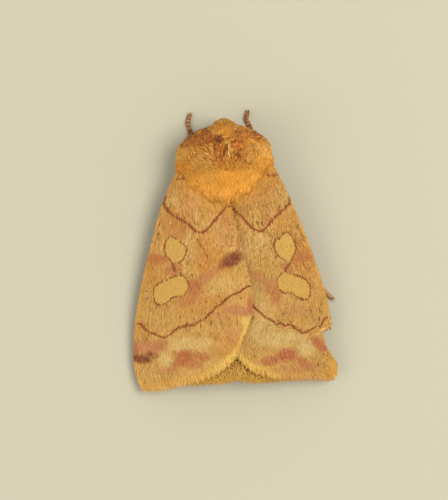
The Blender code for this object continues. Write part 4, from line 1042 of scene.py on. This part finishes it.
thorax_coat("thorax_under_hair", 1500, 2, 61, 1.2, 0.24, (-0.25, 0.0), from_skin=True)
thorax_coat("thorax_hair", 1350, 5, 62, 0.8, 0.09, (-0.12, 0.05))
thorax_coat("thorax_outer_hair", 1800, 5, 63, 0.7, 0.062, (0.0, 0.14))
thorax_coat("thorax_rear_hair", 1450, 5, 64, 0.75, 0.05, (0.0, 0.16), rear_only=True)

# Short hair: the flanks, the underside, the head and the abdomen wear a thin coat that lies back along the
# body, longest under the thorax and shortest on the face. The abdomen ends in a small golden brush.
EYE_CENTRE = np.array([1.25, 9.3, 2.6])
EYE_RADIUS = 0.75
FUR_STEPS = np.array([-0.08, 0.3, 0.65, 1.0])  # of a tuft's rings along it, from just inside the skin


def body_fur(name, count, seed, y_range, turn_range, length, width, lift, heading, finish, node,
             gold):
    """Tufts rooted evenly over part of the body's skin. heading is their direction before they are laid
    flat. gold is the share of them that are golden."""
    rng = np.random.default_rng(seed)
    y = rng.uniform(*y_range, count * 3)
    half = np.interp(y, BODY_TABLE[:, 0], BODY_TABLE[:, 2])
    y = y[rng.random(len(y)) < half / half.max()][:count]
    turn = rng.uniform(*turn_range, len(y))
    root, up = body_point(y, turn), body_normal(y, turn)
    for side in (-1, 1):
        far = np.linalg.norm(root - EYE_CENTRE * (side, 1, 1), axis=1) > EYE_RADIUS + 0.02
        root, up, y, turn = root[far], up[far], y[far], turn[far]
    ahead = np.array([heading(spot) for spot in root])
    ahead = unit(ahead - up * (ahead * up).sum(-1, keepdims=True))
    ahead = turned(ahead, up, rng.normal(0, 0.2, len(root)))
    long = length * rng.uniform(0.7, 1.2, len(root))
    rise = long * lift * rng.uniform(0.6, 1.4, len(root))
    path = tuft_paths(root, ahead, up, FUR_STEPS, long, 1 - (1 - np.clip(FUR_STEPS, 0, 1)) ** 2, rise)
    wide = width * rng.uniform(0.7, 1.3, len(root))
    roll = turned(np.cross(ahead, up), ahead, rng.normal(0, 0.3, len(root)))
    coat = blades(path, roll, wide, 0.3 * wide, [0.6, 1.0, 0.8, 0], False)
    marks = {mark: np.zeros(len(root)) for mark, _ in HAIR_COLOURS}
    marks["gold"] = (rng.random(len(root)) < gold).astype(float)
    marks["dark"] = (rng.random(len(root)) < 0.04).astype(float)
    marks["tone"] = np.clip(rng.normal(0.5, 0.18, len(root)), 0.1, 1)
    coat_piece(name, coat, on_unwrap(turn % 1, along_body(y)), marks, finish, node)


RUST_GROUND = [(0.0, "5E3418"), (0.2, "A25E28"), (0.6, "C07A34"), (1.0, "DDA558")]
rust_finish = wing_finish("rusty_head_hair_scales", RUST_GROUND, HAIR_COLOURS, 0.6)


def backwards(spot):
    return np.array([0.12 * spot[0], -1.0, 0.0])


def outwards_and_back(spot):
    return np.array([0.5 * spot[0], -0.8, -0.5])


def forwards(spot):
    return np.array([0.7 * spot[0], 0.55, 0.5 * (spot[2] - 3.2)])


body_fur("abdomen_hair", 4600, 71, (-9.45, 3.3), (0, 1), 0.6, 0.12, 0.16, backwards, hair_finish,
         "abdomen", 0.3)
body_fur("abdomen_brush", 500, 72, (-9.5, -8.6), (0, 1), 0.85, 0.09, 0.05, backwards, hair_finish,
         "abdomen", 0.6)
body_fur("thorax_flank_hair", 3700, 73, (3.9, 8.5), (0.42, 1.08), 0.75, 0.12, 0.3, outwards_and_back,
         hair_finish, "thorax", 0.3)
body_fur("head_hair", 2600, 74, (8.5, 9.97), (0, 1), 0.42, 0.08, 0.5, forwards, rust_finish,
         "head", 0.3)

# Front tuft: between the feelers a blunt peak of golden hair leans forward over the palps.
PEAK_EDGE = curve_table([(-2.1, 9.8), (-1.5, 9.92), (-0.95, 10.17), (-0.32, 10.6), (0.08, 10.74),
                         (0.65, 10.56), (1.25, 10.08), (1.6, 9.95), (2.1, 9.78)], 80)
PEAK_ROOTS = np.array([0.0, 9.0])
PEAK_COUNT = 2800
PEAK_HEIGHT = 4.0
PEAK_BACK_RISE = 0.8  # of its back, to meet the crown
PEAK_TUFT_WIDTH = 0.065
rng = np.random.default_rng(76)
tip = PEAK_ROOTS + (at(PEAK_EDGE, rng.uniform(0, 1, PEAK_COUNT)) - PEAK_ROOTS) * rng.uniform(
    0.5, 1.0, PEAK_COUNT)[:, None] ** 0.6
root = tip - unit(tip - PEAK_ROOTS) * rng.uniform(0.5, 0.8, PEAK_COUNT)[:, None]
forward = np.clip((tip[:, 1] - 9.6) / 1.1, 0, 1)
tip_z = PEAK_HEIGHT - 0.5 * forward**2 + rng.uniform(-0.5, 0.1, PEAK_COUNT) * (1 - 0.5 * forward)
tip_z = tip_z - 0.35 * np.abs(tip[:, 0]) * forward
tip_z = tip_z + PEAK_BACK_RISE * (1 - forward) ** 2 * np.exp(-((tip[:, 0] / 0.9) ** 2))
_, coat = curved_blades(
    np.column_stack([root, tip_z + 0.05]), np.column_stack([0.5 * (root + tip), tip_z + 0.12]),
    np.column_stack([tip, tip_z]), PEAK_TUFT_WIDTH * rng.uniform(0.7, 1.3, PEAK_COUNT),
    rng.normal(0, 0.3, PEAK_COUNT))
ripe = np.exp(-((tip[:, 0] / 0.5) ** 2) - ((tip[:, 1] - 10.0) / 0.4) ** 2)
# The paler front of the peak is partly its yellow rim and partly painted light that brightens its
# forward-sloping tip.
marks = {"gold": rng.uniform(0.2, 0.9, PEAK_COUNT) * (1 - 0.5 * ripe),
         "pale": 0.6 * smooth_step((tip[:, 1] - 10.25) / 0.3),
         "rust": 0.5 * (rng.random(PEAK_COUNT) < 0.2 + 0.5 * ripe),
         "tone": np.clip(rng.normal(0.52, 0.17, PEAK_COUNT), 0.05, 1)}
coat_piece("head_peak_hair", coat, on_unwrap(0.25 + 0.1 * root[:, 0], along_body(root[:, 1])), marks,
           hair_finish, "head")

# Eyes: two large dark domes of many hexagonal facets, glossy, half hidden by the coat.
EYE_FACET_LEVEL = 4
EYE_DOME = 0.03  # how far a facet's middle stands out, as a share of the radius
EYE_SINK = 0.98  # the facets' corners lie just inside the eye's solid
eye_finish, tree, shader = new_finish("dark_glossy_eye_cuticle")
mottled(tree, shader, 0.5, 2.0, "150D08", "3A2414")
shader.inputs["Roughness"].default_value = 0.32
shader.inputs["Coat Weight"].default_value = 0.3
shader.inputs["Coat Roughness"].default_value = 0.2


def faceted_ball(level):
    """A unit ball of six-sided facets, one with a low dome at each corner of a split icosahedron."""
    ball = bmesh.new()
    bmesh.ops.create_icosphere(ball, subdivisions=level, radius=1)
    ball.verts.ensure_lookup_table()
    ball.faces.ensure_lookup_table()
    centres = np.array([unit(np.array(face.calc_center_median())) for face in ball.faces])
    points, tris = list(centres), []
    for corner in ball.verts:
        around, loop = [], corner.link_loops[0]
        for _ in range(len(corner.link_faces)):
            around.append(loop.face.index)
            loop = loop.link_loop_prev.link_loop_radial_next
        points.append(np.array(corner.co) * (1 + EYE_DOME))
        middle = len(points) - 1
        tris += [(middle, around[k], around[(k + 1) % len(around)]) for k in range(len(around))]
    ball.free()
    return np.array(points), np.array(tris)


ball_points, ball_faces = faceted_ball(EYE_FACET_LEVEL)
centre = ball_points[ball_faces].mean(1)
if (np.cross(ball_points[ball_faces[:, 1]] - ball_points[ball_faces[:, 0]],
             ball_points[ball_faces[:, 2]] - ball_points[ball_faces[:, 0]]) * centre).sum() < 0:
    ball_faces = ball_faces[:, ::-1]
for side in (-1, 1):
    points = ball_points * EYE_RADIUS * EYE_SINK + EYE_CENTRE * (side, 1, 1)
    mesh_piece(f"eye_{WORD[side]}_facets", points, [ball_faces], eye_finish, (f"eye_{WORD[side]}",))

# Limbs: palps, antennae and legs are jointed tubes of chitin, clothed in flat scales that lie towards the
# tip. The feet have five joints, each dark with a pale ring at its end, and two small claws.
LIMB_SIDES = 14
LIMB_ROWS = 160
JOINT_PINCH, JOINT_WIDTH = 0.22, 0.006  # of the radius, and as a share of the limb
LIMB_STEPS = np.array([-0.08, 0.5, 1.0])  # of a scale's rings along it
FLOOR = 0.02  # the lowest skin; scales stay above it by SCALE_OFF_FLOOR
SCALE_OFF_FLOOR = 0.01


def limb_frames(path):
    """Steady sideways and upward directions along a path."""
    ahead = unit(np.gradient(path, axis=0))
    side = np.cross(ahead[0], [0.0, 0.0, 1.0])
    if np.linalg.norm(side) < 0.1:
        side = np.cross(ahead[0], [0.0, 1.0, 0.0])
    sides = []
    for direction in ahead:
        side = unit(side - direction * (side * direction).sum())
        sides.append(side)
    sides = np.array(sides)
    return ahead, sides, np.cross(sides, ahead)


def limb_point(path, radii, place, turn):
    """A point on the limb's skin, the way out of it and the way along it. place runs from 0 to 1."""
    spots = np.linspace(0, 1, len(path))
    middle, ahead, aside, up = (
        np.stack([np.interp(place, spots, table[:, k]) for k in range(3)], -1)
        for table in (path, *limb_frames(path)))
    angle = 2 * np.pi * turn[..., None]
    out = unit(aside * np.cos(angle) + up * np.sin(angle))
    return middle + out * np.interp(place, spots, radii)[..., None], out, unit(ahead)


def make_limb(name, path, radii, joints, fur, marking, finish, node, seed):
    """A limb's skin and its scales. joints are places where it is pinched. fur is (count, length, width,
    lift)."""
    rng = np.random.default_rng(seed)
    places = np.linspace(0, 1, len(path))
    pinch = sum(np.exp(-((places - joint) / JOINT_WIDTH) ** 2) for joint in joints)
    radii = radii * (1 - JOINT_PINCH * pinch)
    place, turn = (grid.ravel() for grid in np.meshgrid(
        places, np.arange(LIMB_SIDES) / LIMB_SIDES, indexing="ij"))
    points, _, _ = limb_point(path, radii, place, turn)
    points[:, 2] = np.maximum(points[:, 2], FLOOR)
    ends = np.arange(LIMB_SIDES)
    caps = [ends[None, :], ends[::-1][None, :] + LIMB_SIDES * (len(path) - 1)]
    marks = marking(place)
    marks["tone"] = 0.45 + 0.2 * rng.random(len(points))
    mesh_piece(f"{name}_skin", points, [grid_faces(len(path), LIMB_SIDES, wrap=True), *caps], finish,
               (node,), marks)
    count, length, width, lift = fur
    place, turn = rng.uniform(0, 0.985, count), rng.uniform(0, 1, count)
    root, up, ahead = limb_point(path, radii, place, turn)
    ahead = turned(ahead, up, rng.normal(0, 0.15, count))
    long = length * rng.uniform(0.7, 1.25, count)
    rise = long * lift * rng.uniform(0.5, 1.5, count)
    path = tuft_paths(root, ahead, up, LIMB_STEPS, long, np.clip(LIMB_STEPS, 0, 1) ** 0.8, rise)
    path[..., 2] = np.maximum(path[..., 2], FLOOR + SCALE_OFF_FLOOR)
    wide = width * rng.uniform(0.7, 1.2, count)
    coat = blades(path, np.cross(ahead, up), wide, 0.2 * wide, [0.7, 1.0, 0], False)
    marks = uneven(marking(place), rng, count)
    marks["tone"] = np.clip(rng.normal(0.5, 0.2, count), 0.05, 1)
    coat_piece(f"{name}_scales", coat, on_unwrap(turn, place), marks, finish, node)


LEG_GROUND = [(0.0, "5A2F1E"), (0.25, "8C5032"), (0.6, "A96A42"), (1.0, "CB9564")]
LEG_COLOURS = [("pale", "E0B070"), ("dark", "5C2E22")]
leg_finish = wing_finish("reddish_brown_leg_scales", LEG_GROUND, LEG_COLOURS, 0.6)
THORAX_CENTRE, THORAX_RADII = np.array([0, 6.3, 2.95]), np.array([2.25, 2.75, 1.9])
FOOT = 0.19  # height of the foot's middle
LEGS = {  # hip's direction from the thorax, then knee, ankle, start of the foot and claw for each side
    "foreleg": ((0.55, 0.55, -0.9), {
        -1: [(2.1, 8.4, 1.1), (2.6, 9.4, 0.75), (2.72, 9.9, FOOT), (2.62, 11.3, FOOT)],
        1: [(1.9, 8.5, 1.1), (2.25, 9.45, 0.75), (2.24, 9.95, FOOT), (2.17, 11.2, FOOT)]}),
    "midleg": ((0.8, -0.05, -0.75), {
        -1: [(3.0, 5.7, 1.15), (4.4, 3.4, 0.75), (4.8, 2.6, FOOT), (5.8, 0.0, FOOT)],
        1: [(3.0, 5.7, 1.15), (4.4, 3.4, 0.75), (4.8, 2.6, FOOT), (5.7, -0.1, FOOT)]}),
    "hindleg": ((0.65, -0.62, -0.8), {
        -1: [(2.9, 2.6, 1.05), (4.7, -1.8, 0.65), (5.1, -2.8, FOOT), (6.0, -6.2, FOOT)],
        1: [(2.9, 2.6, 1.05), (5.2, -1.5, 0.65), (5.8, -2.3, FOOT), (8.1, -4.8, FOOT)]}),
}
LEG_RADII = (0.24, 0.28, 0.24, 0.19, 0.22, 0.2, 0.15, 0.155, 0.13)  # from the hip to the claw
LEG_SCALES = (2100, 0.21, 0.08, 0.12)
FOOT_JOINTS = 5
FOOT_BOW = {-1: 0.17, 1: -0.17}  # outwards, of the middle of the fore feet
TAN_FOOT = 0.8
SPUR_LENGTH, SPUR_SPLAY, SPUR_ROWS = 0.8, 0.5, 40
SPUR_SCALES = (160, 0.2, 0.07, 0.1)
CLAW_SWELL = [1, 1, 0.95, 0.85, 0.7, 0.5, 0.3, 0]
CLAW_WIDTH, CLAW_THICKNESS = 0.07, 0.05


def off_ball(centre, radii, direction, lift):
    """The point at this lift off an egg-shaped part, in a direction from its centre, and the way out."""
    scaled = np.linalg.norm(direction / radii)
    surface = centre + direction / scaled
    normal = unit((surface - centre) / radii**2)
    return surface + normal * lift, normal


def leg_marks(foot_start, tan):
    """Rings of the foot; tan is how pale the whole of it is."""
    def marks(place):
        along = (place - foot_start) / (1 - foot_start)
        ring = (along * FOOT_JOINTS) % 1
        on_foot = (along > 0) & (along < 0.95)
        dark = 0.6 * (along > 0.95) + 0.25 * on_foot * (ring < 0.4)
        return {"pale": np.maximum(0.85 * (ring > 0.66), tan) * on_foot, "dark": dark * (1 - 0.6 * tan)}
    return marks


def spur_marks(place):
    return {"pale": 0.4 + 0 * place, "dark": 0 * place}


# Claws: dark horn, smooth, with a dull shine.
claw_finish, tree, shader = new_finish("dark_horny_claw")
mottled(tree, shader, 0.1, 2.0, "2E170D", "6B3A20")
shader.inputs["Roughness"].default_value = 0.35

for side in (-1, 1):
    for leg, (direction, joints) in LEGS.items():
        node = f"{leg}_{WORD[side]}"
        tan = TAN_FOOT if leg == "hindleg" else 0.0
        hip, out = off_ball(THORAX_CENTRE, THORAX_RADII, np.array(direction) * (side, 1, 1), -0.12)
        knee, ankle, foot, claw = (np.array(spot) * (side, 1, 1) for spot in joints[side])
        thigh = hip + out * 0.6
        bow = side * FOOT_BOW[side] * (leg == "foreleg") * np.array([1.0, 0, 0])
        knots = [hip, thigh, (thigh + knee) / 2, knee, (knee + ankle) / 2, ankle, foot,
                 (foot + claw) / 2 + bow, claw]
        lengths = np.concatenate([[0], np.cumsum(np.linalg.norm(np.diff(knots, axis=0), axis=1))])
        path = curve_table(knots, LIMB_ROWS)
        radii = np.interp(np.linspace(0, 1, LIMB_ROWS) * lengths[-1], lengths, LEG_RADII)
        foot_start = lengths[6] / lengths[-1]
        pinches = [lengths[3] / lengths[-1], lengths[5] / lengths[-1],
                   *[foot_start + (1 - foot_start) * k / FOOT_JOINTS for k in range(FOOT_JOINTS)]]
        make_limb(node, path, radii, pinches, LEG_SCALES, leg_marks(foot_start, tan), leg_finish,
                  node, 81 + side)
        ahead = unit(claw - foot)
        for turn in (-1, 1):
            aside = turn * np.cross(ahead, [0, 0, 1.0])
            hook = [claw - ahead * 0.05 + aside * 0.04, claw + ahead * 0.1 + aside * 0.12,
                    claw + ahead * 0.2 + aside * 0.16 - (0, 0, 0.1)]
            points = curve_table(hook, 8)[None]
            coat = blades(points, np.array([[0.0, 0, 1]]), np.array([CLAW_WIDTH]),
                          np.array([CLAW_THICKNESS]), CLAW_SWELL, False)
            mesh_piece(f"{node}_claw_{'inner' if turn < 0 else 'outer'}", coat["points"], coat["faces"],
                       claw_finish, (node,))
        if leg != "foreleg":
            for turn in (-1, 1):
                flat = swing(ahead[None, :2], np.array([turn * SPUR_SPLAY]))[0]
                reach = SPUR_LENGTH * np.array([*flat, -0.25])
                spur = curve_table([ankle, ankle + reach / 2, ankle + reach], SPUR_ROWS)
                make_limb(f"{node}_spur_{'inner' if turn < 0 else 'outer'}", spur,
                          np.linspace(0.1, 0.03, SPUR_ROWS), [], SPUR_SCALES, spur_marks, leg_finish,
                          node, 91 + turn)

# Antennae and palps: the antennae are threads of some sixty short joints, rooted on top of the head beside
# the eyes and tucked back under the front edges of the forewings, as this moth rests. The palps are short
# and stand up against the face.
HEAD_CENTRE, HEAD_RADII = np.array([0, 9.2, 2.7]), np.array([1.12, 0.78, 1.14])
ANTENNA = [(1.6, 8.95, 3.95), (2.3, 8.75, 3.45), (2.85, 8.3, 2.75), (3.35, 7.3, 2.1), (4.0, 6.0, 1.8),
           (4.55, 4.0, 1.6), (4.9, 1.6, 1.5)]
ANTENNA_JOINTS, ANTENNA_ROWS = 60, 480
ANTENNA_SCALES = (1700, 0.13, 0.045, 0.2)
PALP = [(0.44, 10.2, 2.3), (0.38, 10.17, 2.8)]
PALP_ROWS = 60
PALP_JOINT = 0.72
PALP_RADII = ([0, 0.4, 0.75, 1], [0.17, 0.19, 0.17, 0.08])
PALP_SCALES = (1500, 0.3, 0.07, 0.3)


def antenna_marks(place):
    return {"pale": 0.3 * ((place * ANTENNA_JOINTS) % 1 > 0.5), "dark": 0.1 + 0 * place}


def palp_marks(place):
    return {"gold": 0.75 + 0 * place, "dark": 0.05 + 0 * place}


for side in (-1, 1):
    node = f"antenna_{WORD[side]}"
    base, out = off_ball(HEAD_CENTRE, HEAD_RADII, np.array([side * 0.74, -0.06, 1.0]), -0.1)
    knots = [base, base + out * 0.5, *[np.array(spot) * (side, 1, 1) for spot in ANTENNA]]
    place = np.linspace(0, 1, ANTENNA_ROWS)
    radii = 0.1 - 0.05 * place + 0.07 * np.exp(-place / 0.03)
    joints = (np.arange(ANTENNA_JOINTS) + 0.5) / ANTENNA_JOINTS
    make_limb(node, curve_table(knots, ANTENNA_ROWS), radii, joints, ANTENNA_SCALES, antenna_marks,
              leg_finish, node, 101 + side)
    node = f"palp_{WORD[side]}"
    base, out = off_ball(HEAD_CENTRE, HEAD_RADII, np.array([side * 0.4, 0.62, -0.7]), -0.1)
    knots = [base, base + out * 0.4, *[np.array(spot) * (side, 1, 1) for spot in PALP]]
    radii = np.interp(np.linspace(0, 1, PALP_ROWS), *PALP_RADII)
    make_limb(node, curve_table(knots, PALP_ROWS), radii, [PALP_JOINT], PALP_SCALES, palp_marks,
              hair_finish, node, 111 + side)
